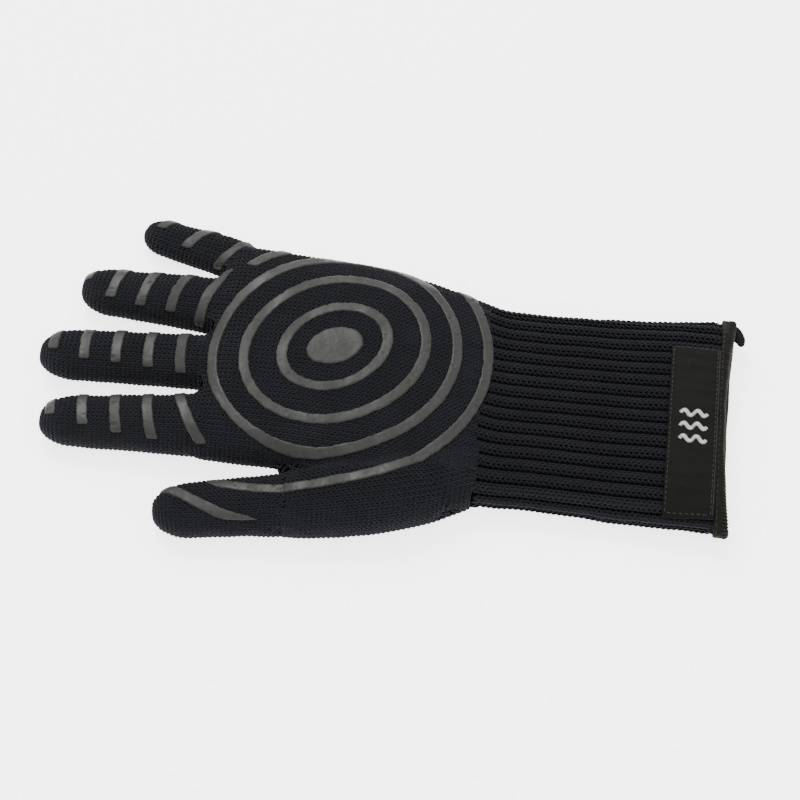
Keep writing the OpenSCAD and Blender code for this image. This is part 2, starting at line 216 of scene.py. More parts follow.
def smooth_step(a, b, x):
    t = np.clip((x - a) / (b - a), 0, 1)
    return t * t * (3 - 2 * t)


def tube_faces(rings, around, closed=True):
    """Quads of a grid of rings, whose last point joins its first if closed."""
    j, i = np.meshgrid(np.arange(rings - 1), np.arange(around if closed else around - 1), indexing="ij")
    k = (i + 1) % around
    quads = np.stack([j * around + i, (j + 1) * around + i, (j + 1) * around + k, j * around + k], -1)
    return quads.reshape(-1, 4)


# ---- Cross-sections ----

FINE = 400             # points of half a cross-section before they are spaced out


def half_section(a, t, power, upper):
    """One half of a cross-section, from its +Y edge to its -Y edge, over the top or under the bottom."""
    q = np.linspace(0, math.pi, FINE)
    y = a * np.sign(np.cos(q)) * np.abs(np.cos(q)) ** (2 / power)
    z = t * np.abs(np.sin(q)) ** (2 / power)
    return np.stack([y, z if upper else -z], -1)


def spaced(line, fractions):
    """Points of a line at the given fractions of its length."""
    run = np.concatenate([[0], np.cumsum(np.linalg.norm(np.diff(line, axis=0), axis=1))])
    at = np.asarray(fractions) * run[-1]
    return np.stack([np.interp(at, run, line[:, k]) for k in range(line.shape[1])], -1)


def section(a, t, power, low, turns):
    """Points at turns round a cross-section: 0 the +Y edge, 0.5 the -Y edge, 1 back under the bottom."""
    turns = np.asarray(turns) % 1.0
    top = half_section(a, t, power, True)
    under = half_section(a, t, power, False)[::-1]
    under[:, 1] = np.maximum(under[:, 1], low)
    return np.where((turns <= 0.5)[:, None], spaced(top, np.clip(turns * 2, 0, 1)),
                    spaced(under, np.clip(turns * 2 - 1, 0, 1)))


def table_at(table, x):
    """Stations' values at x, with their corners rounded off."""
    offsets = np.linspace(-9, 9, 13)
    weights = np.hanning(15)[1:-1]
    weights /= weights.sum()
    return np.stack([sum(w * np.interp(x + o, table[:, 0], table[:, k]) for o, w in zip(offsets, weights))
                     for k in range(1, table.shape[1])], -1)


def loft_ring(table, x, turns, inset=0.0):
    """A ring of the hand, cuff or thumb root, at x behind the wrist."""
    c, a, t, lift = table_at(table, x)
    p = section(a - inset, t - inset, PALM_POWER, inset - (t - FLAT), turns)
    ring = np.empty((len(p), 3))
    ring[:, 0] = x + WRIST[0]
    ring[:, 1] = p[:, 0] + c + WRIST[1]
    ring[:, 2] = p[:, 1] + t - FLAT + lift
    return ring


def stall_ring(stall, s, turns, inset=0.0):
    z = float(stall.middle_z(s))
    a, t = (max(float(half(s)) - inset, 0.2) for half in (stall.half_width, stall.half_depth))
    p = section(a, t, STALL_POWER, inset - z, turns)
    return stall.place(np.full(len(p), s), p[:, 0], p[:, 1] + z)


# ---- The glove's body: lofts joined into one skin, then filled by cloth with pressure ----

VOXEL = 1.9
SKIN_INSET = 1.9       # the skin starts smaller, because the pressure swells it
AROUND = 64            # points round a ring of the body's lofts
FILL_FRAMES = 14
FILL_CAP = 1.6         # the furthest that a point of the skin may move


def loft(rings):
    """A closed solid through rings, capped at both ends."""
    rings = np.array(rings)
    m, n = rings.shape[:2]
    faces = [tuple(f) for f in tube_faces(m, n)]
    faces.append(tuple(range(n)))
    faces.append(tuple(range((m - 1) * n, m * n))[::-1])
    return rings.reshape(-1, 3), faces


def body_solids():
    turns = np.arange(AROUND) / AROUND
    hand = [loft_ring(HAND, x, turns, SKIN_INSET + (1.5 if x < -133 else 0))
            for x in np.append(np.arange(-134.0, CUFF_END, 3), CUFF_END)]
    root = [loft_ring(THUMB_ROOT, x, turns, SKIN_INSET) for x in np.arange(-86.5, -3.9, 3)]
    yield loft(hand)
    yield loft(root)
    for stall in STALLS:
        ends = stall.tip_start + (stall.tip_long - SKIN_INSET) * np.sin(np.radians(np.arange(6, 90, 6)))
        along = np.concatenate([np.arange(-9, stall.tip_start, 3), ends])
        yield loft([stall_ring(stall, s, turns, SKIN_INSET if s < stall.tip_start else 0.9 * SKIN_INSET)
                    for s in along])


def joined_body():
    points, faces = [], []
    for solid_points, solid_faces in body_solids():
        base = sum(len(p) for p in points)
        points.append(solid_points)
        faces += [tuple(base + i for i in f) for f in solid_faces]
    skin = new_mesh("skin", np.concatenate(points), faces, [])
    remesh = skin.modifiers.new("remesh", "REMESH")
    remesh.mode = "VOXEL"
    remesh.voxel_size = VOXEL * MM
    rounding = skin.modifiers.new("rounding", "SMOOTH")
    rounding.factor = 0.5
    rounding.iterations = 8
    applied(skin)
    return skin


def fill_with_air(skin):
    """Cloth with pressure rounds the skin out and settles it, with each point's move capped."""
    rest = arrays_of(skin)[0]
    cloth = skin.modifiers.new("cloth", "CLOTH")
    for name, value in (("quality", 4), ("mass", 0.02), ("tension_stiffness", 12), ("compression_stiffness", 12),
                        ("bending_stiffness", 0.6), ("use_pressure", True), ("uniform_pressure_force", 4.0)):
        setattr(cloth.settings, name, value)
    cloth.settings.effector_weights.gravity = 0
    cloth.collision_settings.use_collision = False
    cloth.point_cache.frame_start = 1
    cloth.point_cache.frame_end = FILL_FRAMES + 1
    for number in range(1, FILL_FRAMES + 1):
        bpy.context.scene.frame_set(number)
    applied(skin)
    bpy.context.scene.frame_set(1)
    moved = arrays_of(skin)[0] - rest
    far = np.linalg.norm(moved, axis=1, keepdims=True)
    return rest + moved * np.minimum(1, FILL_CAP / np.maximum(far, 1e-6))


# The fold between the thumb and the heel of the hand, as two places from the wrist
FOLD_START, FOLD_END = np.array((-11.0, -68.0)), np.array((-34.0, -33.0))
FOLD_DEPTH, FOLD_REACH = 1.7, 4.5


def slack(points, normals):
    """Low soft unevenness of worn-in fabric, and the fold where the thumb joins the heel of the hand."""
    out = points.copy()
    size = np.array([0.38 * noise.noise(Vector(p * 0.055)) + 0.22 * noise.noise(Vector(p * 0.13 + 7))
                     for p in points])
    out += normals * size[:, None]
    a, b = WRIST[:2] + FOLD_START, WRIST[:2] + FOLD_END
    d = b - a
    t = np.clip(((points[:, :2] - a) @ d) / (d @ d), 0, 1)
    gap = np.linalg.norm(points[:, :2] - (a + t[:, None] * d), axis=1)
    depth = FOLD_DEPTH * np.exp(-((gap / FOLD_REACH) ** 2)) * (1 - smooth_step(0.55, 1.0, t)) * (normals[:, 2] > -0.2)
    out -= normals * depth[:, None]
    return out


skin = joined_body()
filled = fill_with_air(skin)
skin.data.vertices.foreach_set("co", (filled * MM).ravel())
skin.data.update()
SKIN_POINTS, SKIN_FACES, SKIN_NORMALS = arrays_of(skin)
SKIN_POINTS = slack(SKIN_POINTS, SKIN_NORMALS)
# Room under the skin for the knit, and more where the ribs of the cuff stand out
FLOOR_GAP = 1.15 + 0.7 * smooth_step(-17, 2, SKIN_POINTS[:, 0] - WRIST[0])
SKIN_POINTS[:, 2] = np.maximum(SKIN_POINTS[:, 2], FLOOR_GAP)
bpy.data.objects.remove(skin)
SKIN_TREE = BVHTree.FromPolygons([Vector(p) for p in SKIN_POINTS], SKIN_FACES)


def onto_skin(points):
    """The nearest points of the skin, and how far away they are."""
    flat = points.reshape(-1, 3)
    found = [SKIN_TREE.find_nearest(Vector(p)) for p in flat]
    near = np.array([f[0] for f in found])
    return near.reshape(points.shape), np.array([f[3] for f in found]).reshape(points.shape[:-1])


# ---- Who owns a place on the skin: the hand, the thumb's root or a stall ----


def inside_loft(table, points):
    """Below 1 inside a loft's outline, above 1 outside it."""
    x = points[..., 0] - WRIST[0]
    c, a, t, lift = (np.interp(x, table[:, 0], table[:, k]) for k in range(1, 5))
    y = np.abs(points[..., 1] - WRIST[1] - c) / a
    z = np.abs(points[..., 2] - (t - FLAT) - lift) / t
    beyond = np.maximum(table[0, 0] - x, x - table[-1, 0]).clip(0) / 8
    return (y**PALM_POWER + z**PALM_POWER) ** (1 / PALM_POWER) + beyond


def inside_stall(stall, points):
    s, across = stall.own(points)
    a = np.maximum(np.interp(s, (0, stall.tip_start), stall.widths), 1)
    t = np.interp(s, (0, stall.tip_start), stall.depths)
    value = ((np.abs(across) / a) ** 2 + (np.abs(points[..., 2] - t + FLAT) / t) ** 2) ** 0.5
    return np.where(s < 0, 9.0, value)


# ---- The rings of the grip print ----

DOT_LOW, DOT_HIGH = (np.array(corner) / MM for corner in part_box("grip_dot"))
PRINT = (DOT_LOW + DOT_HIGH)[:2] / 2
DOT_RADIUS = (DOT_HIGH - DOT_LOW)[0] / 2
FIRST_RING, RING_PITCH = 22.5, 15.0


def ring_radius(k):
    return FIRST_RING if k == 1 else 10 + RING_PITCH * k


# ---- The knit: lattices of stitches laid on the skin ----

COURSE = 2.2           # length of a stitch on the hand
CUFF_COURSE = 2.45     # and on the cuff
ROUND = 108            # columns of stitches round the hand and cuff, three to a rib
ROOT_ROUND = 36        # and round the root of the thumb
RIB_WIDE = 1.22        # width of each of a rib's two knit columns; the column in its groove gets the rest
RIB_HEIGHT = 0.85
REACH = 5.0            # a lattice point further than this from the skin belongs to another part
WEB_REACH = 11.0       # near the webs, where the palm's rows drop down to the fingers
GUIDE_INSET = 0.6      # a lattice's guide rings lie this far inside the outline, before they meet the skin
KNIT_LIFT = 0.25       # the lattice lies this far over the skin
SEAM_OVERLAP = 0.14    # where two lattices meet in a valley, each runs a little past it
BACKING_DEPTH = 0.02   # the yarn behind the stitches lies this far under the lattice


class Lattice:
    """Rows of points on the skin, two to each column of stitches, with unit normals."""

    def __init__(self, points, owned):
        near, far = onto_skin(points)
        self.owned = owned(near) & (far < np.where(near[..., 0] < WRIST[0] + HAND[0, 0] + 8, WEB_REACH, REACH))
        self.points = near
        self.normals = self.find_normals(points)
        self.points = self.points + self.normals * KNIT_LIFT

    def find_normals(self, guide):
        p = self.points
        across = np.roll(p, -1, 1) - np.roll(p, 1, 1)
        along = np.gradient(p, axis=0)
        n = unit(np.cross(across, along))
        centre = guide.mean(axis=1, keepdims=True)
        outward = np.einsum("ijk,ijk->ij", n, guide - centre)
        flip = np.where(np.sum(outward) < 0, -1.0, 1.0)
        return n * flip

    def sample(self, row, column):
        """Point and normal at fractional rows and half-columns; columns wrap round."""
        rows, columns = self.points.shape[:2]
        row = np.clip(row, 0, rows - 1.001)
        j, i = np.floor(row).astype(int), np.floor(column).astype(int)
        v, u = (row - j)[..., None], (column - i)[..., None]
        i0, i1 = i % columns, (i + 1) % columns
        out = []
        for grid in (self.points, self.normals):
            out.append((1 - v) * ((1 - u) * grid[j, i0] + u * grid[j, i1])
                       + v * ((1 - u) * grid[j + 1, i0] + u * grid[j + 1, i1]))
        return out[0], unit(out[1])


def rib_mask(x):
    """0 on the hand, 1 on the cuff: where the ribs fade in, x behind the wrist."""
    return smooth_step(-17, 2, x)


def rib_place(half):
    """Where a half-column stands when its three columns gather into a rib."""
    whole, part = np.divmod(np.asarray(half) / 2, 3)
    return 3 * whole + np.interp(part, (0, 1, 2, 3), (0, RIB_WIDE, 2 * RIB_WIDE, 3))


def rib_rise(place):
    """Height over the skin at a place across a rib."""
    turn = np.cos(2 * math.pi * ((place % 3) - RIB_WIDE) / 3)
    return RIB_HEIGHT * (np.abs((1 + turn) / 2) ** 0.7 * 2 - 1)


PALM_PAST_WEB = 13.0   # rows of the palm run on over the roots of the fingers
STALL_START = 2.0      # where the first row of a stall takes over
TAPE_COVER = 4.2       # the knit and liner end this far from the opening, under the tape


def hand_rows():
    x, rows = CUFF_END - TAPE_COVER, []
    while x > HAND[0, 0] - PALM_PAST_WEB:
        rows.append(x)
        x -= COURSE if x < 0 else CUFF_COURSE
    return np.array(rows)


HAND_ROWS = hand_rows()


def under_label(points):
    """1 where the sewn-on label presses the ribs flat, and 0 elsewhere."""
    low, high = (np.array(corner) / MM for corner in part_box("label"))
    inside = np.minimum(np.minimum(points[..., 0] - low[0], high[0] - points[..., 0]),
                        np.minimum(points[..., 1] - low[1], high[1] - points[..., 1]))
    return smooth_step(-1.5, 1.0, inside) * (points[..., 2] > WRIST[2])


def hand_lattice():
    """The palm, back and cuff, knitted in one tube from the cuff's edge to the finger webs."""
    halves = np.arange(2 * ROUND)
    rings = []
    for x in HAND_ROWS:
        mask = float(rib_mask(x))
        place = halves / 2 * (1 - mask) + rib_place(halves) * mask
        rings.append(loft_ring(HAND, x, place / ROUND, GUIDE_INSET))
    points = np.array(rings)

    def owned(near):
        mine = inside_loft(HAND, near) <= inside_loft(THUMB_ROOT, near) + SEAM_OVERLAP
        mine |= near[..., 0] > WRIST[0] + THUMB_ROOT[-1, 0] - COURSE
        offsets, along = [], []
        for stall in STALLS[:4]:
            s, across = stall.own(near)
            offsets.append(np.abs(across) / stall.widths[0])
            along.append(s)
        nearest = np.argmin(offsets, axis=0)[None]
        mine &= np.take_along_axis(np.array(along), nearest, 0)[0] < STALL_START + COURSE
        thumb_s = THUMB.own(near)[0]
        return mine & ~((thumb_s > STALL_START + COURSE) & (inside_stall(THUMB, near) < inside_loft(HAND, near)))

    lattice = Lattice(points, owned)
    mask = rib_mask(HAND_ROWS)[:, None]
    at_tape = smooth_step(CUFF_END - 8.5, CUFF_END - 5.5, HAND_ROWS)[:, None]
    ring = np.linalg.norm(lattice.points[..., :2] - PRINT, axis=-1) - ring_radius(4)
    at_print = smooth_step(4.5, 2.5, np.abs(ring)) * (lattice.points[..., 2] > WRIST[2])
    pressed = np.maximum(under_label(lattice.points), np.maximum(at_tape, at_print))
    rise = mask * (rib_rise(rib_place(halves))[None, :] * (1 - 0.7 * pressed) - 0.3 * pressed)
    lattice.points += lattice.normals * rise[..., None]
    lattice.ribs = mask
    return lattice


def root_lattice():
    """The root of the thumb, whose stitches run on into the thumb."""
    rows = np.arange(THUMB_ROOT[-1, 0], THUMB_ROOT[0, 0] - PALM_PAST_WEB - 1.5, -COURSE)
    turns = np.arange(2 * ROOT_ROUND) / (2 * ROOT_ROUND)
    points = np.array([loft_ring(THUMB_ROOT, x, turns, GUIDE_INSET) for x in rows])

    def owned(near):
        along = THUMB.own(near)[0]
        in_front = inside_loft(THUMB_ROOT, near) < inside_loft(HAND, near) + SEAM_OVERLAP
        return in_front & (along < STALL_START + COURSE)

    lattice = Lattice(points, owned)
    lattice.rows = rows
    return lattice


EARLY_ROWS = 3         # rows of a stall that start before the palm's last row
FREE_REACH, FREE_SIDE = 1.6, 0.72      # where a stall stands free: near the skin, and on its sides
TIP_TURN = 0.97        # part of the turn over a stall's end that is knitted


def stall_lattice(stall):
    start = STALL_START - EARLY_ROWS * COURSE
    straight = np.linspace(start, stall.tip_start, round((stall.tip_start - start) / COURSE) + 1)[:-1]
    quarter = math.pi / 2 * math.hypot(stall.widths[1], stall.tip_long) / math.sqrt(2)
    steps = int(quarter / COURSE)
    bend = np.linspace(0, math.pi / 2 * TIP_TURN, steps + 1)
    rows = np.concatenate([straight, stall.tip_start + stall.tip_long * np.sin(bend)])
    turns = np.arange(2 * stall.stitches) / (2 * stall.stitches)
    points = np.array([stall_ring(stall, s, turns, GUIDE_INSET) for s in rows])
    # Before the palm's last row, only the sides that stand free in the webs are knitted
    free = onto_skin(points)[1] < FREE_REACH
    free &= np.abs(np.cos(2 * math.pi * turns))[None] > FREE_SIDE
    free |= rows[:, None] > STALL_START - 0.5
    lattice = Lattice(points, lambda near: free)
    lattice.rows = rows
    return lattice


# One arm of a stitch: a leaf of yarn that rises from under the last stitch and dives under the next.
# It runs from the outer edge of its column to the column's middle, towards the fingertips.
ARM_ACROSS = (-0.04, 0.98)     # in half-columns
ARM_ALONG = (-0.42, 1.10)      # in rows
YARN_WIDE, YARN_DEEP = 0.60, 0.50
YARN_LOW, YARN_HIGH = -0.55, 0.34
ARM_SIDES = ((-1.0, -0.15), (-0.62, 0.68), (0.0, 1.0), (0.62, 0.68), (1.0, -0.15))
TOP_STEPS = (0.10, 0.33, 0.58, 0.84)
BACK_STEPS = (0.14, 0.48, 0.82)


def arm_mesh(lattice, rows, columns, steps):
    """All the stitches' arms at the given rows and columns: points, quads, triangles and UVs."""
    steps = np.array(steps)
    arms = []
    for hand in (-1, 1):
        across = ARM_ACROSS[0] + (ARM_ACROSS[1] - ARM_ACROSS[0]) * np.concatenate([[0.0], steps, [1.0]])
        along = ARM_ALONG[0] + (ARM_ALONG[1] - ARM_ALONG[0]) * np.concatenate([[0.0], steps, [1.0]])
        column = 2 * columns[:, None] + 1 + hand * (1 - across)[None, :]
        row = rows[:, None] + along[None, :]
        arms.append((row, column))
    row = np.concatenate([a[0] for a in arms])
    column = np.concatenate([a[1] for a in arms])
    centre, normal = lattice.sample(row, column)
    bulge = np.sin(math.pi * np.concatenate([[0.0], steps, [1.0]]))
    height = YARN_LOW + (YARN_HIGH - YARN_LOW) * bulge**0.75
    centre = centre + normal * height[None, :, None]
    run = unit(np.gradient(centre, axis=1))
    wide = unit(np.cross(normal, run))
    full = bulge[1:-1] ** 0.35
    sides = np.array(ARM_SIDES)
    count, rings, around = len(row), len(steps), len(sides)
    body = (centre[:, 1:-1, None, :]
            + wide[:, 1:-1, None, :] * (YARN_WIDE * full[:, None] * sides[None, :, 0])[None, ..., None]
            + normal[:, 1:-1, None, :] * (YARN_DEEP * full[:, None] * sides[None, :, 1])[None, ..., None])
    points = np.concatenate([body.reshape(count, -1, 3), centre[:, :1], centre[:, -1:]], 1)
    each = rings * around + 2
    quads = tube_faces(rings, around)
    tip, end = rings * around, rings * around + 1
    ring = np.arange(around)
    following = (ring + 1) % around
    last = (rings - 1) * around
    caps = np.concatenate([np.stack([ring, following, np.full(around, tip)], -1),
                           np.stack([last + following, last + ring, np.full(around, end)], -1)])
    offsets = (np.arange(count) * each)[:, None, None]
    u = np.tile(np.linspace(0.08, 0.92, around), rings)
    v = np.repeat(steps, around)
    uv = np.concatenate([np.stack([u, v], -1), [[0.5, 0.0], [0.5, 1.0]]])
    return points.reshape(-1, 3), (quads[None] + offsets).reshape(-1, 4), (caps[None] + offsets).reshape(-1, 3), uv


# ---- Materials ----


def shader(name, colour, roughness, **sockets):
    material = bpy.data.materials.new(name)
    material.use_nodes = True
    nodes = material.node_tree.nodes
    main = nodes["Principled BSDF"]
    main.inputs["Base Color"].default_value = (*colour, 1)
    main.inputs["Roughness"].default_value = roughness
    for socket, value in sockets.items():
        main.inputs[socket.replace("_", " ")].default_value = value
    return material


class Nodes:
    """A short way to add and join nodes of one material."""

    def __init__(self, material):
        self.tree = material.node_tree
        self.main = self.tree.nodes["Principled BSDF"]

    def add(self, kind, links=(), **values):
        node = self.tree.nodes.new(kind)
        for key, value in values.items():
            if hasattr(node, key):
                setattr(node, key, value)
            else:
                node.inputs[key.replace("_", " ")].default_value = value
        for socket, source in dict(links).items():
            self.tree.links.new(source, node.inputs[socket])
        return node

    def place(self, *scale):
        coordinates = self.add("ShaderNodeTexCoord").outputs["Object"]
        return self.add("ShaderNodeMapping", {"Vector": coordinates}, Scale=scale).outputs["Vector"]

    def uv(self, name, *scale):
        source = self.add("ShaderNodeUVMap", uv_map=name).outputs["UV"]
        return self.add("ShaderNodeMapping", {"Vector": source}, Scale=scale).outputs["Vector"]

    def noise(self, vector, scale, detail=2.0, rough=0.5):
        return self.add("ShaderNodeTexNoise", {"Vector": vector}, Scale=scale, Detail=detail,
                        Roughness=rough).outputs["Fac"]

    def wave(self, vector, scale, distortion=0.0, direction="X", shape="SIN"):
        return self.add("ShaderNodeTexWave", {"Vector": vector}, bands_direction=direction, wave_profile=shape,
                        Scale=scale, Distortion=distortion, Detail=1.0).outputs["Fac"]

    def math(self, operation, a, b=0.5):
        node = self.tree.nodes.new("ShaderNodeMath")
        node.operation = operation
        for k, value in enumerate((a, b)):
            if isinstance(value, (int, float)):
                node.inputs[k].default_value = value
            else:
                self.tree.links.new(value, node.inputs[k])
        return node.outputs[0]

    def ramp(self, value, *stops):
        node = self.tree.nodes.new("ShaderNodeValToRGB")
        self.tree.links.new(value, node.inputs["Fac"])
        ramp = node.color_ramp
        while len(ramp.elements) < len(stops):
            ramp.elements.new(0.5)
        for element, (at, colour) in zip(ramp.elements, stops):
            element.position = at
            element.color = (*colour, 1)
        return node.outputs["Color"]

    def colour(self, source):
        self.tree.links.new(source, self.main.inputs["Base Color"])

    def bump(self, height, strength, distance):
        node = self.add("ShaderNodeBump", {"Height": height}, Strength=strength, Distance=distance * MM)
        self.tree.links.new(node.outputs["Normal"], self.main.inputs["Normal"])


def shades(colour, *gains):
    return [tuple(c * g for c in colour) for g in gains]


def yarn_material(name, colour):
    """Heavy spun yarn: plies that wind round it, loose fibres, and slightly uneven dye."""
    material = shader(name, colour, 0.82, Sheen_Weight=0.08, Sheen_Roughness=0.45, Sheen_Tint=(0.75, 0.78, 0.9, 1),
                      Specular_IOR_Level=0.12)
    n = Nodes(material)
    plies = n.wave(n.uv("Yarn", 1.0, 2.2, 1.0), 1.0, 1.2, "DIAGONAL")
    fibres = n.noise(n.place(1, 1, 1), 2600, 3, 0.7)
    patches = n.noise(n.place(1, 1, 1), 55, 3)
    mix = n.math("ADD", n.math("MULTIPLY", patches, 0.5), n.math("MULTIPLY", fibres, 0.35))
    mix = n.math("ADD", mix, n.math("MULTIPLY", plies, 0.15))
    low, middle, high = shades(colour, 0.62, 1.0, 1.75)
    n.colour(n.ramp(mix, (0.32, low), (0.52, middle), (0.78, high)))
    height = n.math("ADD", n.math("MULTIPLY", plies, 0.6), n.math("MULTIPLY", fibres, 0.5))
    n.bump(height, 0.6, 0.25)
    return material


def backing_material(name, colour):
    """The inner side of the knit, seen only between stitches, in a darker copy of the yarn's colour: painted shade in
    the gaps.
    """
    material = shader(name, colour, 0.95, Specular_IOR_Level=0.04)
    n = Nodes(material)
    loops = n.noise(n.place(1, 1.6, 1), 420, 2)
    low, high = shades(colour, 0.5, 1.3)
    n.colour(n.ramp(loops, (0.35, low), (0.7, high)))
    n.bump(loops, 0.5, 0.3)
    return material


def silicone_material():
    """Cured print: satin, mottled where it is thin over the yarn, with pale specks and dull scuffs."""
    colour = (0.0168, 0.0167, 0.0156)
    material = shader("silicone", colour, 0.5, Specular_IOR_Level=0.3)
    n = Nodes(material)
    mottle = n.noise(n.place(1, 1, 1), 260, 4, 0.62)
    scuffs = n.noise(n.place(1, 0.35, 1), 90, 3, 0.6)
    specks = n.noise(n.place(1, 1, 1), 1500, 2, 0.5)
    mix = n.math("ADD", n.math("MULTIPLY", mottle, 0.5), n.math("MULTIPLY", scuffs, 0.3))
    mix = n.math("ADD", mix, n.math("MULTIPLY", specks, 0.2))
    dark, low, high, pale = shades(colour, 0.45, 0.85, 1.1, 1.7)
    n.colour(n.ramp(mix, (0.30, dark), (0.42, low), (0.56, high), (0.72, pale)))
    rough = n.ramp(scuffs, (0.35, (0.42,) * 3), (0.65, (0.72,) * 3))
    n.tree.links.new(rough, n.main.inputs["Roughness"])
    n.bump(n.math("ADD", mottle, n.math("MULTIPLY", specks, 0.6)), 0.5, 0.22)
    return material


def woven_material(name, colour, threads, sheen=0.1, roughness=0.7, specular=0.12):
    """A fine plain weave, with threads to the millimetre, and slightly uneven threads."""
    material = shader(name, colour, roughness, Sheen_Weight=sheen, Sheen_Roughness=0.4,
                      Specular_IOR_Level=specular)
    n = Nodes(material)
    place = n.place(1, 1, 1)
    scale = threads * 100 * math.pi
    warp = n.wave(place, scale, 0.4, "X")
    weft = n.wave(place, scale, 0.4, "Y")
    weave = n.math("MAXIMUM", warp, weft)
    cloudy = n.noise(place, 120, 3)
    mix = n.math("ADD", n.math("MULTIPLY", weave, 0.45), n.math("MULTIPLY", cloudy, 0.55))
    low, middle, high = shades(colour, 0.6, 1.0, 1.5)
    n.colour(n.ramp(mix, (0.3, low), (0.55, middle), (0.85, high)))
    n.bump(weave, 0.55, 0.12)
    return material


def thread_material(name, colour):
    material = shader(name, colour, 0.65, Sheen_Weight=0.05, Specular_IOR_Level=0.2)
    n = Nodes(material)
    twist = n.wave(n.place(1, 1, 1), 420, 0.5, "DIAGONAL")
    low, high = shades(colour, 0.6, 1.3)
    n.colour(n.ramp(twist, (0.2, low), (0.8, high)))
    n.bump(twist, 0.5, 0.1)
    return material


def liner_material():
    """Unbleached cotton jersey: fine columns of loops and small slubs."""
    colour = (0.55, 0.52, 0.45)
    material = shader("liner_cotton", colour, 0.9, Sheen_Weight=0.3)
    n = Nodes(material)
    columns = n.wave(n.place(1, 1, 1), 160, 1.0, "Y")
    courses = n.wave(n.place(1, 1, 1), 190, 2.0, "X")
    loops = n.math("MULTIPLY", columns, courses)
    slubs = n.noise(n.place(1, 1, 1), 140, 3)
    mix = n.math("ADD", n.math("MULTIPLY", loops, 0.5), n.math("MULTIPLY", slubs, 0.5))
    low, high = shades(colour, 0.75, 1.15)
    n.colour(n.ramp(mix, (0.25, low), (0.7, high)))
    n.bump(mix, 0.5, 0.4)
    return material


yarn = yarn_material("yarn", (0.0052, 0.0052, 0.0070))
# The backing's colour is the yarn's, darkened to about a quarter: painted shade between the stitches and in the rib
# grooves.
backing = backing_material("knit_backing", (0.0014, 0.0014, 0.0020))
silicone = silicone_material()
cotton = liner_material()
tape_cloth = woven_material("binding_cloth", (0.0062, 0.0053, 0.0040), 1.6, 0.04, 0.7, 0.08)
label_cloth = woven_material("label_cloth", (0.0038, 0.0038, 0.0034), 2.4, 0.03, 0.6, 0.07)
dark_thread = thread_material("dark_thread", (0.0085, 0.0073, 0.0055))
grey_thread = thread_material("grey_thread", (0.035, 0.033, 0.029))
pale_thread = thread_material("pale_thread", (0.62, 0.61, 0.57))

# ---- Pieces of the knit, with one piece for every stretch that moves in its own way ----

HEEL_END, PALM_END = -56.0, -93.0      # the hand's knit is three pieces, so that none is too heavy
WRIST_REACH = 18.0     # the wrist's piece reaches this far to each side of the wrist
BEND_SPREAD = 12.0     # a span across a finger's bend, passed on but not used


def hand_region(x):
    """Piece of the hand tube at x behind the wrist."""
    return np.select([x > WRIST_REACH, x > -WRIST_REACH, x > HEEL_END, x > PALM_END],
                     ["cuff", "wrist", "heel", "palm"], "webs")


def stall_region(stall, s):
    part = np.clip(np.searchsorted(stall.cuts, s, side="right") - 1, 0, len(stall.hinges) - 1)
    return np.array([f"{stall.name}_{name}" for name in stall_parts(stall)])[part]


def stall_parts(stall):
    return ("root", "tip") if stall.name == "thumb" else ("root", "middle", "tip")


def ride_region(piece, region):
    """Parents a finished piece of the hand or cuff to that body's empty; a piece of the wrist or a finger only has
    its transform baked into its mesh.
    """
    if region in ("heel", "palm", "webs"):
        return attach(piece, "hand")
    if region == "cuff":
        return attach(piece, "cuff")
    if region == "wrist":
        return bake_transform(piece)
    name, part = region.split("_")
    stall = next(s for s in STALLS if s.name == name)
    k = stall_parts(stall).index(part)
    first = 0.0 if k == 0 else stall.hinges[k] - BEND_SPREAD / 2
    a, b = (stall.place(s, 0.0, 0.0) * MM for s in (first, first + BEND_SPREAD))
    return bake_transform(piece, stall.bodies[k], stall.bodies[k + 1], tuple(a), tuple(b))


REGIONS = ["palm", "heel", "webs", "wrist", "cuff"] + [f"{s.name}_{p}" for s in STALLS for p in stall_parts(s)]
stitches = {region: [] for region in REGIONS}
backings = {region: [] for region in REGIONS}


def add_backing(lattice, cells, region):
    """The surface just behind a region's stitches, with its ribs, as points and quads."""
    rows, columns = lattice.points.shape[:2]
    j, i = np.nonzero(np.repeat(cells, 2, 1))
    k = (i + 1) % columns
    quads = np.stack([j * columns + i, (j + 1) * columns + i, (j + 1) * columns + k, j * columns + k], -1)
    used, quads = np.unique(quads, return_inverse=True)
    points = (lattice.points - lattice.normals * BACKING_DEPTH).reshape(-1, 3)[used]
    normals = lattice.normals.reshape(-1, 3)[used]
    backings[region].append((points, quads.reshape(-1, 4), normals))


WIDEST, SHORTEST, LONGEST = 6.0, 0.6, 6.5      # what a stitch may measure, in millimetres


def add_stitches(lattice, regions, keep, narrowest=0.75):
    """Sorts a lattice's whole stitches into regions, front and back apart."""
    own = lattice.owned
    left, middle, right = own[:, 0::2], own[:, 1::2], np.roll(own[:, 0::2], -1, 1)
    whole = left & middle & right
    cell = whole[:-1] & whole[1:]
    p = lattice.points
    width = np.linalg.norm(np.roll(p[:, 0::2], -1, 1) - p[:, 0::2], axis=-1)[:-1]
    height = np.linalg.norm(np.diff(p[:, 1::2], axis=0), axis=-1)
    cell &= (width > narrowest) & (width < WIDEST) & (height > SHORTEST) & (height < LONGEST)
    backed, cell = cell, cell & keep[:-1]
    facing_down = lattice.normals[:-1, 1::2, 2] < -0.25
    for region in np.unique(regions):
        add_backing(lattice, backed & (regions[:-1, None] == region), region)
        for down in (False, True):
            chosen = cell & (regions[:-1, None] == region) & (facing_down == down)
            rows, cols = np.nonzero(chosen)
            if len(rows):
                steps = BACK_STEPS if down else TOP_STEPS
                stitches[region].append(arm_mesh(lattice, rows.astype(float), cols.astype(float), steps))


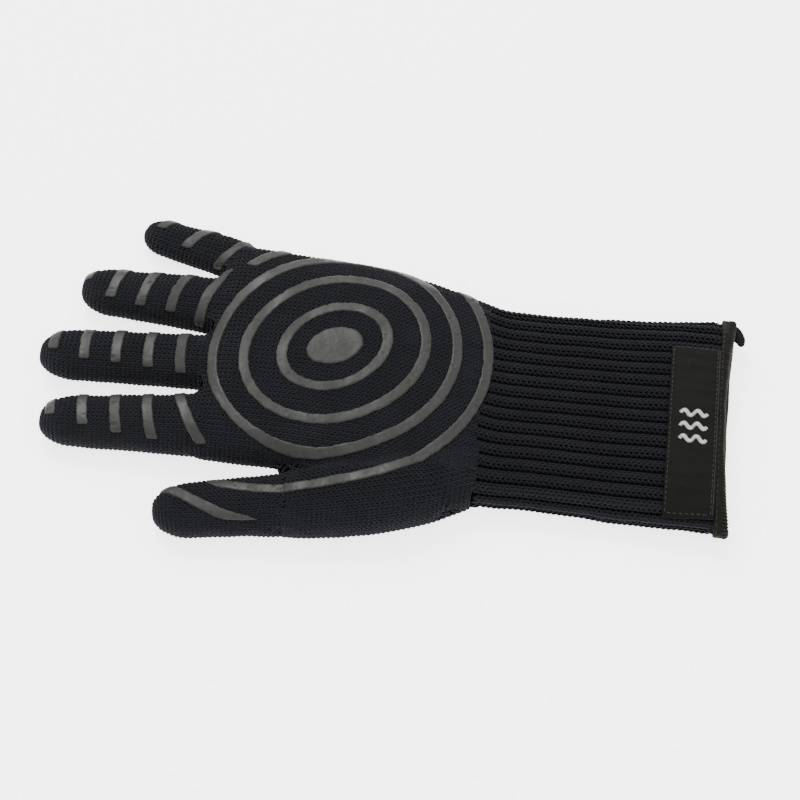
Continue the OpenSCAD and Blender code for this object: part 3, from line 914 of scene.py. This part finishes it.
def grooves_left_out(lattice):
    """True for every stitch but those in the grooves between ribs, which lie hidden."""
    rows, columns = lattice.points.shape[0], lattice.points.shape[1] // 2
    groove = (np.arange(columns) % 3 == 2)[None, :] & (lattice.ribs > 0.75)
    return ~np.broadcast_to(groove, (rows, columns))


hand = hand_lattice()
add_stitches(hand, hand_region(HAND_ROWS), grooves_left_out(hand))
root = root_lattice()
add_stitches(root, hand_region(root.rows), np.ones((len(root.rows), root.points.shape[1] // 2), bool))
for stall in STALLS:
    lattice = stall_lattice(stall)
    add_stitches(lattice, stall_region(stall, lattice.rows + 0.01),
                 np.ones((len(lattice.rows), stall.stitches), bool), 0.1)


# A finger's skin ends at this many times its outline, and past the webs it wins over the palm's by the bonus
FINGER_REACH, FINGER_BONUS, PAST_WEBS = 1.9, 0.5, -135.5


def skin_regions(points):
    """Names of the regions that places on the skin belong to."""
    names = hand_region(points[:, 0] - WRIST[0]).astype(object)
    best = np.minimum(inside_loft(HAND, points), inside_loft(THUMB_ROOT, points))
    past_webs = points[:, 0] < WRIST[0] + PAST_WEBS
    for stall in STALLS:
        value = inside_stall(stall, points)
        s = stall.own(points)[0]
        if stall is THUMB:
            chosen = (s > 0) & (value < best)
        else:
            chosen = (s > 0) & (value < FINGER_REACH) & (value < best + FINGER_BONUS * past_webs)
        names[chosen] = stall_region(stall, s[chosen])
        best = np.where(chosen, np.minimum(value, best), best)
    return names


FACE_CENTRES = np.array([SKIN_POINTS[list(f)].mean(0) for f in SKIN_FACES])
FACE_REGIONS = skin_regions(FACE_CENTRES)
MOUTH = WRIST[0] + CUFF_END - TAPE_COVER


def skin_patch(region, depth):
    """The skin of one region moved in by depth, without the cap over the opening."""
    chosen = np.nonzero((FACE_REGIONS == region) & (FACE_CENTRES[:, 0] < MOUTH))[0]
    faces = [SKIN_FACES[k] for k in chosen]
    used = np.unique(np.concatenate([np.array(f) for f in faces]))
    number = {int(v): k for k, v in enumerate(used)}
    points = SKIN_POINTS[used] - SKIN_NORMALS[used] * depth
    return points, [tuple(number[v] for v in f) for f in faces], SKIN_NORMALS[used]


SKIN_SHARE = 0.22      # part of a knit piece's texture that its backing takes


def knit_piece(region):
    """One piece of the knit: its backing, and every stitch on it."""
    points, faces, normals = skin_patch(region, 0.1)
    for more_points, more_faces, more_normals in backings[region]:
        faces = faces + [tuple(f) for f in (more_faces + len(points)).tolist()]
        points = np.concatenate([points, more_points])
        normals = np.concatenate([normals, more_normals])
    all_points, all_faces = [points], [faces]
    base = len(points)
    low, high = points.min(0), points.max(0)
    backing_uv = []
    for f in faces:
        down = normals[list(f), 2].mean() < 0
        for v in f:
            at = (points[v] - low) / np.maximum(high - low, 1e-6)
            backing_uv.append(((at[0] * 0.48 + (0.51 if down else 0.01)), at[1] * (SKIN_SHARE - 0.02) + 0.01))
    yarn_uv, bake_uv = [np.tile((0.5, 0.5), (len(backing_uv), 1))], [np.array(backing_uv)]
    count = 0
    each_of = [len(p) // len(uv) for p, _, _, uv in stitches[region]]
    side = math.ceil(math.sqrt(sum(each_of))) if each_of else 1
    material_index = [np.zeros(len(faces), int)]
    for (p, quads, caps, uv), arms in zip(stitches[region], each_of):
        all_points.append(p)
        for part in (quads, caps):
            all_faces.append((part + base).tolist())
            corner_uv = uv[part % len(uv)]
            arm = part // len(uv) + count
            cell = np.stack([arm % side, arm // side], -1) / side
            inner = 0.06 + 0.88 * corner_uv
            placed = cell + inner / side
            placed[..., 1] = SKIN_SHARE + placed[..., 1] * (1 - SKIN_SHARE)
            yarn_uv.append(corner_uv.reshape(-1, 2))
            bake_uv.append(placed.reshape(-1, 2))
            material_index.append(np.ones(len(part), int))
        base += len(p)
        count += arms
    mesh_faces = [tuple(f) for part in all_faces for f in part]
    piece = new_mesh(f"knit_{region}", np.concatenate(all_points), mesh_faces, [backing, yarn])
    mesh = piece.data
    mesh.polygons.foreach_set("material_index", np.concatenate(material_index).astype(np.int32))
    for name, uv in (("Yarn", yarn_uv), ("OFBake", bake_uv)):
        layer = mesh.uv_layers.new(name=name)
        layer.data.foreach_set("uv", np.concatenate(uv).astype(np.float32).ravel())
    return piece


def nodes_of(region, kind):
    """CAD nodes that a region's knit or liner stands for."""
    if region == "palm":
        return [f"hand_{kind}"]
    if region == "cuff":
        return [f"cuff_{kind}"]
    if region in ("heel", "webs", "wrist"):
        return []
    name, part = region.split("_")
    stall = next(s for s in STALLS if s.name == name)
    return [f"{stall.bodies[stall_parts(stall).index(part) + 1]}_{kind}"]


for region in REGIONS:
    piece = knit_piece(region)
    stands_for(nodes_of(region, "shell"))
    ride_region(piece, region)

# ---- Liner: cotton, just inside the knit ----

LINER_DEPTH = 2.0
for region in REGIONS:
    points, faces, _ = skin_patch(region, LINER_DEPTH)
    piece = new_mesh(f"liner_{region}", points, faces, [cotton])
    stands_for(nodes_of(region, "liner"))
    ride_region(piece, region)

# ---- Grip print: silicone strips pressed into the knit ----

STRIP = 5.0            # width of a line
STEP = 0.6             # distance from one cross-section of a strip to the next
# A strip's cross-section: offset in half widths, and height over the skin
PROFILE = np.array([(-1.0, 0.1), (-0.985, 0.9), (-0.93, 1.3), (-0.72, 1.42), (-0.35, 1.38), (0.0, 1.4),
                    (0.35, 1.38), (0.72, 1.42), (0.93, 1.3), (0.985, 0.9), (1.0, 0.1)])
UNDERSIDE = ((0.9, -0.35), (-0.9, -0.35))
OUTER_START, TURN_ANGLE, WIDE_RADIUS, WIDE_SWEEP = 52.0, -70.0, 143.0, 29.5


def dropped(plan):
    """Points of the skin straight under points of the plan; past the edge, the nearest ones."""
    flat = plan.reshape(-1, 2)
    out = np.empty((len(flat), 3))
    for i, (x, y) in enumerate(flat):
        hit = SKIN_TREE.ray_cast(Vector((x, y, 80)), Vector((0, 0, -1)))[0]
        out[i] = hit if hit is not None else SKIN_TREE.find_nearest(Vector((x, y, 8.0)))[0]
    return out.reshape(*plan.shape[:-1], 3)


def rough(points, scale, seed=0.0):
    return np.array([noise.noise(Vector(p) * scale + Vector((seed, seed, seed))) for p in points.reshape(-1, 3)]
                    ).reshape(points.shape[:-1])


def grid_normals(grid, closed):
    along = np.roll(grid, -1, 0) - np.roll(grid, 1, 0) if closed else np.gradient(grid, axis=0)
    n = unit(np.cross(np.gradient(grid, axis=1), along))
    return n * np.sign(n[..., 2].sum() or 1)


def strip_mesh(spine_to_skin, marks, widths, closed=False):
    """A strip of print. spine_to_skin(offsets) gives skin points for offsets in millimetres, one row each.

    Marks are places along the spine, which make its edges rough.
    """
    count = len(marks)
    profile = np.concatenate([PROFILE, UNDERSIDE])
    marks = np.concatenate([marks, marks[:, :1] * 0], -1)
    edges = [1 + 0.13 * rough(marks, 0.42, side) + 0.06 * rough(marks, 1.3, side) for side in (3.1, 8.7)]
    edge = np.where(profile[None, :, 0] < 0, edges[0][:, None], edges[1][:, None])
    offsets = (widths / 2)[:, None] * edge * profile[None, :, 0]
    base = spine_to_skin(offsets)
    normals = grid_normals(base[:, :len(PROFILE)], closed)
    normals = np.concatenate([normals, normals[:, -2:-1], normals[:, 1:2]], 1)
    height = np.broadcast_to(profile[:, 1], base.shape[:2]).copy()
    top = height > 1
    ripple = 0.13 * rough(base, 0.85) + 0.09 * rough(base, 2.1, 5.0)
    pits = 0.45 * smooth_step(0.42, 0.62, rough(base, 0.6, 9.0))
    height += np.where(top, ripple - pits, ripple * 0.5)
    points = base + normals * height[..., None]
    around = len(profile)
    faces = [tuple(f) for f in tube_faces(count, around)]
    if closed:
        last, i = (count - 1) * around, np.arange(around)
        k = (i + 1) % around
        faces += [tuple(f) for f in np.stack([last + i, i, k, last + k], -1)]
    else:
        faces += [tuple(range(around)), tuple(range((count - 1) * around, count * around))[::-1]]
    return points.reshape(-1, 3), faces


PULL_REACH, PULL_ALONG, PULL_ACROSS = 46, 0.07, 0.27


def stretched(plan):
    """The print's middle, drawn askew with the knit as the palm is pulled flat."""
    away = plan - PRINT
    far = np.linalg.norm(away, axis=-1)
    pull = np.exp(-((far / PULL_REACH) ** 2))
    return plan + np.stack([PULL_ALONG * pull * away[..., 0], PULL_ACROSS * pull * away[..., 0]], -1)


def plan_strip(spine, sides, widths, closed=False):
    """A strip whose spine and sideways directions are given in the plan."""
    return strip_mesh(lambda offsets: dropped(stretched(spine[:, None] + offsets[..., None] * sides[:, None])),
                      spine, widths, closed)


def arc(centre, radius, start, end):
    """Points and outward directions along an arc, in degrees, one for each step."""
    count = max(3, int(abs(end - start) * math.pi / 180 * radius / STEP))
    q = np.radians(np.linspace(start, end, count))
    out = np.stack([np.cos(q), np.sin(q)], -1)
    return centre + radius * out, out


def round_ends(count, ends=(1.6, 1.6)):
    """Widths of a strip whose ends narrow over the given reaches."""
    run = np.arange(count) * STEP
    width = np.full(count, STRIP)
    for distance, reach in ((run, ends[0]), (run[::-1], ends[1])):
        if reach:
            width *= np.sqrt(np.clip((distance + 0.25) / reach, 0, 1))
    return width


def join_meshes(parts):
    points, faces, base = [], [], 0
    for p, f in parts:
        points.append(p)
        faces += [tuple(int(i) + base for i in face) for face in f]
        base += len(p)
    return np.concatenate(points), faces


def print_piece(name, parts, region, replaced):
    points, faces = join_meshes(parts)
    piece = new_mesh(name, points, faces, [silicone])
    stands_for(replaced)
    ride_region(piece, region)
    return piece


def full_ring(k):
    spine, sides = arc(PRINT, ring_radius(k), 0, 360)
    spine, sides = spine[:-1], sides[:-1]
    return plan_strip(spine, sides, np.full(len(spine), STRIP), closed=True)


def solid_dot():
    """The dot in the middle: rings of points that rise over its edge and close at its centre."""
    edge = [(DOT_RADIUS, 0.1), (DOT_RADIUS - 0.05, 0.9), (DOT_RADIUS - 0.3, 1.3)]
    inner = [(r, 1.4) for r in np.arange(DOT_RADIUS - 1.1, 0.5, -0.8)]
    around = 120
    q = np.arange(around) * 2 * math.pi / around
    out = np.stack([np.cos(q), np.sin(q)], -1)
    wobble = 1 + 0.04 * rough(np.stack([np.cos(q) * 9, np.sin(q) * 9, q * 0], -1), 0.4)
    radii, heights = np.array(edge + inner).T
    plan = stretched(PRINT + out[None] * (radii[:, None] * wobble)[..., None] * (1.0, 0.88))
    base = dropped(plan)
    height = heights[:, None] + np.where(heights[:, None] > 1, 0.13 * rough(base, 0.85) + 0.09 * rough(base, 2.1), 0)
    base[..., 2] += height
    middle = dropped(PRINT[None]) + (0, 0, 1.4)
    under = dropped(PRINT[None]) - (0, 0, 0.4)
    points = np.concatenate([base.reshape(-1, 3), middle, under])
    faces = [tuple(f) for f in tube_faces(len(radii), around)]
    last, centre = (len(radii) - 1) * around, len(radii) * around
    for i in range(around):
        k = (i + 1) % around
        faces += [(last + i, centre, last + k), (k, centre + 1, i)]
    return points, faces


def outer_path():
    """The outermost ring, which turns into a wider curve along the thumb."""
    spine, sides = arc(PRINT, ring_radius(4), OUTER_START, TURN_ANGLE)
    turn = np.radians(TURN_ANGLE)
    centre = PRINT + (ring_radius(4) - WIDE_RADIUS) * np.array((math.cos(turn), math.sin(turn)))
    more, more_sides = arc(centre, WIDE_RADIUS, TURN_ANGLE, TURN_ANGLE - WIDE_SWEEP)
    return np.concatenate([spine, more[1:]]), np.concatenate([sides, more_sides[1:]])


print_piece("print_dot", [solid_dot()], "palm", ["grip_dot"])
for k in (1, 2, 3):
    print_piece(f"print_ring_{k}", [full_ring(k)], "palm", [f"grip_ring_{k}"])

spine, sides = outer_path()
widths = round_ends(len(spine), (0, 6.0))
on_thumb = int(np.argmax(THUMB.own(spine)[0] > 0))
print_piece("print_outer_ring", [plan_strip(spine[:on_thumb + 2], sides[:on_thumb + 2], widths[:on_thumb + 2])],
            "wrist", ["grip_outer_ring"])


def stall_spots(stall, s, turn):
    """Points of a stall's outline, before they are laid on the skin, at turns round it."""
    a, t = stall.widths[0], stall.depths[0]
    shape = section(a, t, STALL_POWER, -2 * t, turn.ravel()) / (a, t)
    across, rise = shape.T.reshape(2, *turn.shape)
    return stall.place(s, stall.half_width(s) * across, stall.middle_z(s) + stall.half_depth(s) * rise)


def bar(stall, k, stop, pull, reach, start):
    """A bar of ring k over a stall, from past its +Y edge to where the offset is stop half widths.

    The knit of the fingers was drawn out while it was printed, so the ring's centre is off by pull and its
    radius by reach.
    """
    low, high = (0.5 * float(np.interp(-at, (-1, 1), (0.04, 0.96))) for at in (start, stop))
    low = -0.04 if start > 1 else low
    count = max(5, int((high - low) * 4 * stall.widths[0] / STEP))
    turn = np.linspace(low, high, count)
    centre, radius = PRINT + pull, ring_radius(k) + reach

    def on_skin(offsets):
        turns = np.broadcast_to(turn[:, None], offsets.shape)
        goal = radius + offsets
        s = goal - float(np.linalg.norm(stall.root - centre))
        for _ in range(8):
            away = stall_spots(stall, np.clip(s, -30, stall.length - 0.5), turns)[..., :2] - centre
            far = np.linalg.norm(away, axis=-1)
            s = s + (goal - far) / np.maximum((away @ stall.along) / far, 0.3)
        s = np.clip(s, -30, stall.length - 0.5)
        spot = stall_spots(stall, s, turns)
        return dropped(spot[..., :2]) if s.mean() < STALL_START else onto_skin(spot)[0]

    marks = np.stack([np.arange(count) * STEP, np.full(count, 20.0 * k + stall.length)], -1)
    mesh = strip_mesh(on_skin, marks, round_ends(count, (0, 0.5)))
    along = stall.own(mesh[0])[0]
    return mesh, float(along.mean()), float(along.max())


# The bars of rings 4 to 8 on each finger: where each stops, in half widths off the finger's middle to the
# +Y side, then how far its ring's centre and radius are off, then where it starts
BARS = {
    "little": [(-0.72, (0, 0), -5.0, 2), (-0.7, (0, 0), -4.0, 2), (-0.5, (0, 0), 0.0, 2), (-0.03, (0, 0), 2.5, 2)],
    "ring": [(-0.75, (3, 8), 0.0, 0.85), (-0.66, (3, 8), 0.0, 2), (-0.62, (3, 8), 0.0, 2), (-0.5, (3, 8), 0.0, 2),
             (0.1, (3, 8), 0.0, 2)],
    "middle": [(-0.66, (-1.8, 0), 0.0, 0.95), (-0.55, (-1.8, 0), 0.0, 2), (-0.46, (-1.8, 0), 0.0, 2),
               (-0.39, (-1.8, 0), 0.0, 2), (-0.15, (-1.8, 0), 0.0, 2)],
    "index": [(-0.72, (0.5, -8), 1.5, 2), (-0.68, (2, -22), 0.0, 2), (-0.56, (2, -22), 0.0, 2),
              (-0.36, (2, -22), 0.0, 2), (-0.05, (2, -22), 0.0, 2)],
}
bars = {region: [] for region in REGIONS}
for stall in STALLS[:4]:
    for k, (stop, pull, reach, start) in enumerate(BARS[stall.name], 4):
        mesh, middle, furthest = bar(stall, k, stop, pull, reach, start)
        region = "palm" if furthest < 0 else str(stall_region(stall, np.array([max(middle, 0.1)]))[0])
        bars[region].append(mesh)


def thumb_bar():
    """The slanting bar along the thumb, blunt over its edge and pointed at the other end."""
    route = THUMB.place([54.5, 41.0, 29.0, 13.5], [10.5, 1.0, -6.0, -9.0], 0.0)[:, :2]
    count = int(np.linalg.norm(route[3] - route[0]) / STEP)
    t = np.linspace(0, 1, count)
    spine = spaced(route, t)
    for _ in range(12):
        spine[1:-1] = (spine[:-2] + spine[2:]) / 2
    run = unit(np.gradient(spine, axis=0))
    side = np.stack([-run[:, 1], run[:, 0]], -1)
    widths = STRIP * np.clip((1 - t) / 0.42, 0.05, 1) ** 0.8
    return plan_strip(spine, side, widths)


# The bar lies across the thumb's two pieces, so each piece gets the half on its own side
bars["thumb_root"].append(plan_strip(spine[on_thumb - 1:], sides[on_thumb - 1:], widths[on_thumb - 1:]))
bars["thumb_tip"].append(thumb_bar())
for region in REGIONS:
    if bars[region]:
        # The little finger's tip has print here but no print in the CAD
        name = "root_bars" if region == "palm" else region
        stood_for = ["grip_root_bars"] if region == "palm" else nodes_of(region, "grip")
        print_piece(f"print_{name}", bars[region], region, [n for n in stood_for if n in frame["nodes"]])

# ---- Trim of the cuff: binding tape, its loose end, sewing, and the woven label ----

TAPE_WIDE = 6.2
TAPE_START = CUFF_END - TAPE_WIDE + 1.0
TAPE_ROUND = 300
# The folded tape's section: distance from its start, and offset from the cuff's outline
TAPE_SECTION = np.array([
    (0.0, -1.3), (0.05, -0.5), (0.4, -0.25), (1.6, -0.2), (3.4, -0.2), (5.2, -0.3), (6.1, -0.6), (6.5, -1.2),
    (6.6, -2.0), (6.6, -3.0), (6.4, -3.9), (5.9, -4.5), (5.0, -4.75), (3.2, -4.8), (1.4, -4.7), (1.0, -4.3),
    (1.4, -3.8), (4.4, -3.7), (5.3, -3.2), (5.5, -2.4), (5.2, -1.7), (4.2, -1.35), (2.2, -1.3)])
MOUTH_DIP = 3.9        # the opening's edge is hollow on top, and half as much below


def mouth_spots(behind, out, turn):
    """Points round the opening: distance from the tape's start, offset from the outline, and turn."""
    behind, out, turn = (np.ravel(v).astype(float) for v in (behind, out, turn))
    c, a, t, lift = (np.interp(CUFF_END, HAND[:, 0], HAND[:, k]) for k in range(1, 5))
    outline, ahead, before = (section(a, t, PALM_POWER, -(t - FLAT), turn + more) for more in (0, 0.002, -0.002))
    run = unit(ahead - before)
    normal = np.stack([run[:, 1], -run[:, 0]], -1)
    normal *= np.sign(np.sum(normal * outline, axis=1, keepdims=True) + 1e-9)
    flat = outline + normal * out[:, None]
    dip = MOUTH_DIP * np.where(turn % 1 < 0.5, 1.0, 0.5) * (1 - (outline[:, 0] / a) ** 2) ** 1.3
    dip = dip * np.clip(behind / TAPE_WIDE, 0, 1)
    x = TAPE_START + behind - dip + 0.25 * np.sin(turn * 41) * np.sin(turn * 17)
    z = np.maximum(flat[:, 1] + t - FLAT + lift, 0.05)
    return np.stack([x + WRIST[0], flat[:, 0] + c + WRIST[1], z], -1)


def cuff_piece(name, mesh, material, slot, *replaced):
    piece = new_mesh(name, *mesh, [material])
    stands_for(replaced)
    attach(piece, "cuff")
    return piece


def tape_mesh():
    turn = np.arange(TAPE_ROUND) / TAPE_ROUND
    count = len(TAPE_SECTION)
    wave = 0.1 * np.sin(turn * 2 * math.pi * 23) + 0.08 * np.sin(turn * 2 * math.pi * 57 + 1)
    out = TAPE_SECTION[None, :, 1] + wave[:, None]
    behind = np.broadcast_to(TAPE_SECTION[None, :, 0], out.shape)
    points = mouth_spots(behind, out, np.broadcast_to(turn[:, None], out.shape))
    j, i = np.meshgrid(np.arange(TAPE_ROUND), np.arange(count), indexing="ij")
    j2, i2 = (j + 1) % TAPE_ROUND, (i + 1) % count
    faces = np.stack([j * count + i, j * count + i2, j2 * count + i2, j2 * count + i], -1).reshape(-1, 4)
    return points, [tuple(f) for f in faces.tolist()]


def tubes(lines, radius, sides=6, normals=None):
    """Closed round threads along lines, each an array of points."""
    parts = []
    q = np.arange(sides) * 2 * math.pi / sides
    for number, line in enumerate(lines):
        line = np.asarray(line, float)
        run = unit(np.gradient(line, axis=0))
        up = np.array(normals[number] if normals is not None else (0, 0, 1.0))
        up = np.broadcast_to(up, line.shape)
        side = unit(np.cross(run, up))
        up = unit(np.cross(side, run))
        fade = np.ones(len(line))
        fade[[0, -1]] = 0.35
        ring = (side[:, None] * np.cos(q)[None, :, None] + up[:, None] * np.sin(q)[None, :, None])
        points = (line[:, None] + ring * (radius * fade)[:, None, None]).reshape(-1, 3)
        faces = [tuple(f) for f in tube_faces(len(line), sides)]
        faces += [tuple(range(sides)), tuple(range((len(line) - 1) * sides, len(line) * sides))[::-1]]
        parts.append((points, faces))
    return join_meshes(parts)


MOUTH_ROUND = 258.0    # rough length once round the opening
WRAP_PITCH = 1.7
WRAP_LEAN = 0.9


def edge_wraps():
    """Overlock thread that slants over the fold of the tape, all round the opening."""
    count = int(MOUTH_ROUND / WRAP_PITCH)
    over = TAPE_SECTION[4:13]
    over = over + np.where(over[:, :1] > 6.2, (0.14, 0), np.sign(over[:, 1:] + 2.5) * (0, 0.14))
    lines = []
    for turn in np.arange(count) / count:
        lean = np.linspace(-0.5, 0.5, len(over)) * WRAP_LEAN / MOUTH_ROUND
        lines.append(mouth_spots(over[:, 0], over[:, 1], turn + lean))
    normals = [unit(line[0] - line[-1]) * (0, 1, 1) + (0.4, 0, 0) for line in lines]
    return tubes(lines, 0.24, 5, normals=normals)


def slab(outline, z_low, z_high, rounding=0.35):
    """A flat rounded slab with the given outline in the plan."""
    outline = np.asarray(outline, float)
    centre = outline.mean(0)
    inner = centre + (outline - centre) * (1 - rounding / np.linalg.norm(outline - centre, axis=1).mean())
    levels = ((inner, z_low), (outline, z_low + rounding), (outline, z_high - rounding), (inner, z_high))
    points = np.array([(x, y, z) for ring, z in levels for x, y in ring])
    n = len(outline)
    faces = [tuple(f) for f in tube_faces(4, n)]
    return points, faces + [tuple(range(n)), tuple(range(3 * n, 4 * n))[::-1]]


def rounded_outline(corners):
    """A closed outline through the middles of its corners' sides, with the corners rounded off."""
    corners = np.asarray(corners, float)
    for _ in range(3):
        ahead = np.roll(corners, -1, 0)
        corners = np.stack([0.75 * corners + 0.25 * ahead, 0.25 * corners + 0.75 * ahead], 1).reshape(-1, 2)
    return corners


def tail_mesh():
    """The tape's loose end: folded back on itself, it stands out from the corner of the opening."""
    corner = np.array((WRIST[0] + TAPE_START + 5.6, WRIST[1] + 44.0))
    upper = rounded_outline([(-1, 14.2), (2.8, 12.6), (5.4, 7.6), (5.7, 2.6), (3.2, 1.2), (1.6, 3.6), (-1, 6.5)])
    lower = rounded_outline([(-1, 13.8), (2.4, 12.8), (5.7, 8.6), (5.8, 3.8), (3.9, 2.4), (1.8, 4.4), (-1, 6.5)])
    z = WRIST[2] + LIFT
    return join_meshes([slab(upper + corner, z + 0.12, z + 1.25), slab(lower + corner, z - 1.1, z + 0.08)])


tape = cuff_piece("binding_tape_cloth", tape_mesh(), tape_cloth, "binding", "binding_tape")
edge_thread = cuff_piece("binding_edge_thread", edge_wraps(), dark_thread, "thread")
tail = cuff_piece("binding_tail_cloth", tail_mesh(), tape_cloth, "binding", "binding_tail")


def run_of_stitches(behind, out, pitch, length, low, high):
    """Short threads in a row round the opening, from turn low to turn high."""
    lines, normals = [], []
    for turn in np.arange(low, high, pitch / MOUTH_ROUND):
        t = turn + np.linspace(0, length / MOUTH_ROUND, 6)
        rise = out + 0.16 * np.sin(np.linspace(0, math.pi, 6)) - 0.1
        line = mouth_spots(np.full(6, behind), rise, t)
        lines.append(line)
        normals.append(unit(mouth_spots([behind], [out + 3], [turn])[0] - mouth_spots([behind], [out], [turn])[0]))
    return tubes(lines, 0.26, 6, normals=normals)


seam_thread = cuff_piece("binding_seam_thread", run_of_stitches(1.2, -0.15, 3.2, 2.3, 0.0, 1.0), dark_thread,
                         "thread", "binding_stitches")

LABEL_LOW, LABEL_HIGH = (np.array(corner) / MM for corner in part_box("label"))
LABEL_OVER = 1.75      # the label's face over the skin
LABEL_THICK = 0.7


def label_face(x, y, over):
    """Points on the label's face at places of the plan, raised by over."""
    plan = np.stack([x, y], -1)
    base = dropped(plan)
    up = grid_normals(base, False) if base.ndim == 3 else np.array((0, 0, 1.0))
    ribs = 0.10 * np.sin(y * 2 * math.pi / 7.4) + 0.12 * rough(base, 0.09, 2.0)
    return base + up * (over + ribs)[..., None]


def label_mesh():
    x = np.linspace(LABEL_LOW[0], LABEL_HIGH[0], 47)
    y = np.linspace(LABEL_LOW[1], LABEL_HIGH[1], 183)
    grid_x, grid_y = np.meshgrid(x, y, indexing="ij")
    edge = np.minimum(np.minimum(grid_x - x[0], x[-1] - grid_x), np.minimum(grid_y - y[0], y[-1] - grid_y))
    fold = 0.28 * smooth_step(1.6, 2.4, edge) - 0.5 * smooth_step(0.7, 0.0, edge)
    top = label_face(grid_x, grid_y, LABEL_OVER - fold * 0.4 - 0.45 * smooth_step(0.6, 0.0, edge))
    under = top - (0, 0, LABEL_THICK)
    m, n = top.shape[:2]
    faces = tube_faces(m, n, closed=False)[:, ::-1]
    count = m * n
    rim = ([(i, 0) for i in range(m)] + [(m - 1, k) for k in range(1, n)] + [(i, n - 1) for i in range(m - 2, -1, -1)]
           + [(0, k) for k in range(n - 2, 0, -1)])
    rim = [i * n + k for i, k in rim]
    around = [(a, b, b + count, a + count) for a, b in zip(rim, rim[1:] + rim[:1])]
    all_faces = [tuple(f) for f in faces] + [tuple(f[::-1] + count) for f in faces] + [tuple(f[::-1]) for f in around]
    return np.concatenate([top.reshape(-1, 3), under.reshape(-1, 3)]), all_faces


label = cuff_piece("woven_label", label_mesh(), label_cloth, "label", "label")


def label_line(x, y, over=LABEL_OVER):
    return label_face(np.asarray(x, float), np.asarray(y, float), np.full(len(x), over))


def label_sewing():
    """Small stitches along the label's long edges and across its ends."""
    lines = []
    for x in (LABEL_LOW[0] + 0.9, LABEL_HIGH[0] - 1.8):
        for y in np.arange(LABEL_LOW[1] + 1.2, LABEL_HIGH[1] - 2.4, 2.6):
            lines.append(label_line([x] * 4, y + np.linspace(0, 1.7, 4)) + [(0, 0, h) for h in (0, 0.12, 0.12, 0)])
    for y in (LABEL_LOW[1] + 0.9, LABEL_HIGH[1] - 0.9):
        for x in np.arange(LABEL_LOW[0] + 2.0, LABEL_HIGH[0] - 3.0, 2.6):
            lines.append(label_line(x + np.linspace(0, 1.7, 4), [y] * 4) + [(0, 0, h) for h in (0, 0.12, 0.12, 0)])
    return tubes(lines, 0.17, 5)


def edge_line():
    """The label's pale selvedge thread, on the side towards the opening."""
    y = np.arange(LABEL_LOW[1] + 1.0, LABEL_HIGH[1] - 1.0, 0.7)
    return tubes([label_line(np.full(len(y), LABEL_HIGH[0] - 0.9), y, LABEL_OVER + 0.02)], 0.12, 5)


EMBLEM_PITCH, EMBLEM_WAVE, EMBLEM_LONG, EMBLEM_WIDE = 7.0, 1.6, 12.0, 1.9


def emblem_mesh():
    """Three wavy lines in satin stitch, the general sign for heat."""
    middle = (LABEL_LOW + LABEL_HIGH) / 2
    lines = []
    for row in (-1, 0, 1):
        for at in np.arange(0, EMBLEM_LONG, 0.42):
            wave = EMBLEM_WAVE * math.sin(math.radians(60 * at))
            slope = EMBLEM_WAVE * math.radians(60) * math.cos(math.radians(60 * at))
            lean = np.array((-slope, 1.0)) / math.hypot(slope, 1)
            across = np.linspace(-0.5, 0.5, 6) * EMBLEM_WIDE
            x = middle[0] - EMBLEM_LONG / 2 + at + across * lean[0] + across * 0.12
            y = middle[1] + row * EMBLEM_PITCH + wave + across * lean[1]
            lines.append(label_line(x, y, LABEL_OVER + 0.1) + [(0, 0, h) for h in (-0.1, 0.1, 0.16, 0.16, 0.1, -0.1)])
    return tubes(lines, 0.27, 5)


sewn_on = [cuff_piece("label_sewing", label_sewing(), grey_thread, "thread", "label_stitches"),
           cuff_piece("label_edge_thread", edge_line(), grey_thread, "thread"),
           cuff_piece("label_heat_waves", emblem_mesh(), pale_thread, "emblem", "label_emblem")]

# ---- Floor and light ----


FLOOR_HALF, FLOOR_GLOW = 4000, 3.0


def make_floor():
    material = shader("floor", (0.93, 0.93, 0.93), 0.8)
    n = Nodes(material)
    n.colour(n.ramp(n.noise(n.place(1, 1, 1), 3, 2), (0.3, (0.925,) * 3), (0.7, (0.935,) * 3)))
    # A light table: the floor glows a little, so it stays pale and the glove's shadow soft
    n.main.inputs["Emission Color"].default_value = (1, 1, 1, 1)
    n.main.inputs["Emission Strength"].default_value = FLOOR_GLOW
    corners = [(x * FLOOR_HALF, y * FLOOR_HALF, 0) for x, y in ((-1, -1), (1, -1), (1, 1), (-1, 1))]
    floor = new_mesh("floor", corners, [(0, 1, 2, 3)], [material])


def make_lights():
    world = bpy.data.worlds.new("world")
    bpy.context.scene.world = world
    world.use_nodes = True
    world.node_tree.nodes["Background"].inputs["Color"].default_value = (1, 1, 1, 1)
    world.node_tree.nodes["Background"].inputs["Strength"].default_value = 1.3
    for name, place, size, power in (("key", (-0.5, 0.9, 1.3), 0.9, 31), ("fill", (0.9, -0.9, 1.1), 1.2, 12)):
        data = bpy.data.lights.new(name, "AREA")
        data.size, data.energy = size, power
        lamp = bpy.data.objects.new(name, data)
        lamp.location = place
        lamp.rotation_mode = "QUATERNION"
        lamp.rotation_quaternion = (-Vector(place)).to_track_quat("-Z", "Y")
        bpy.context.scene.collection.objects.link(lamp)


make_floor()
make_lights()
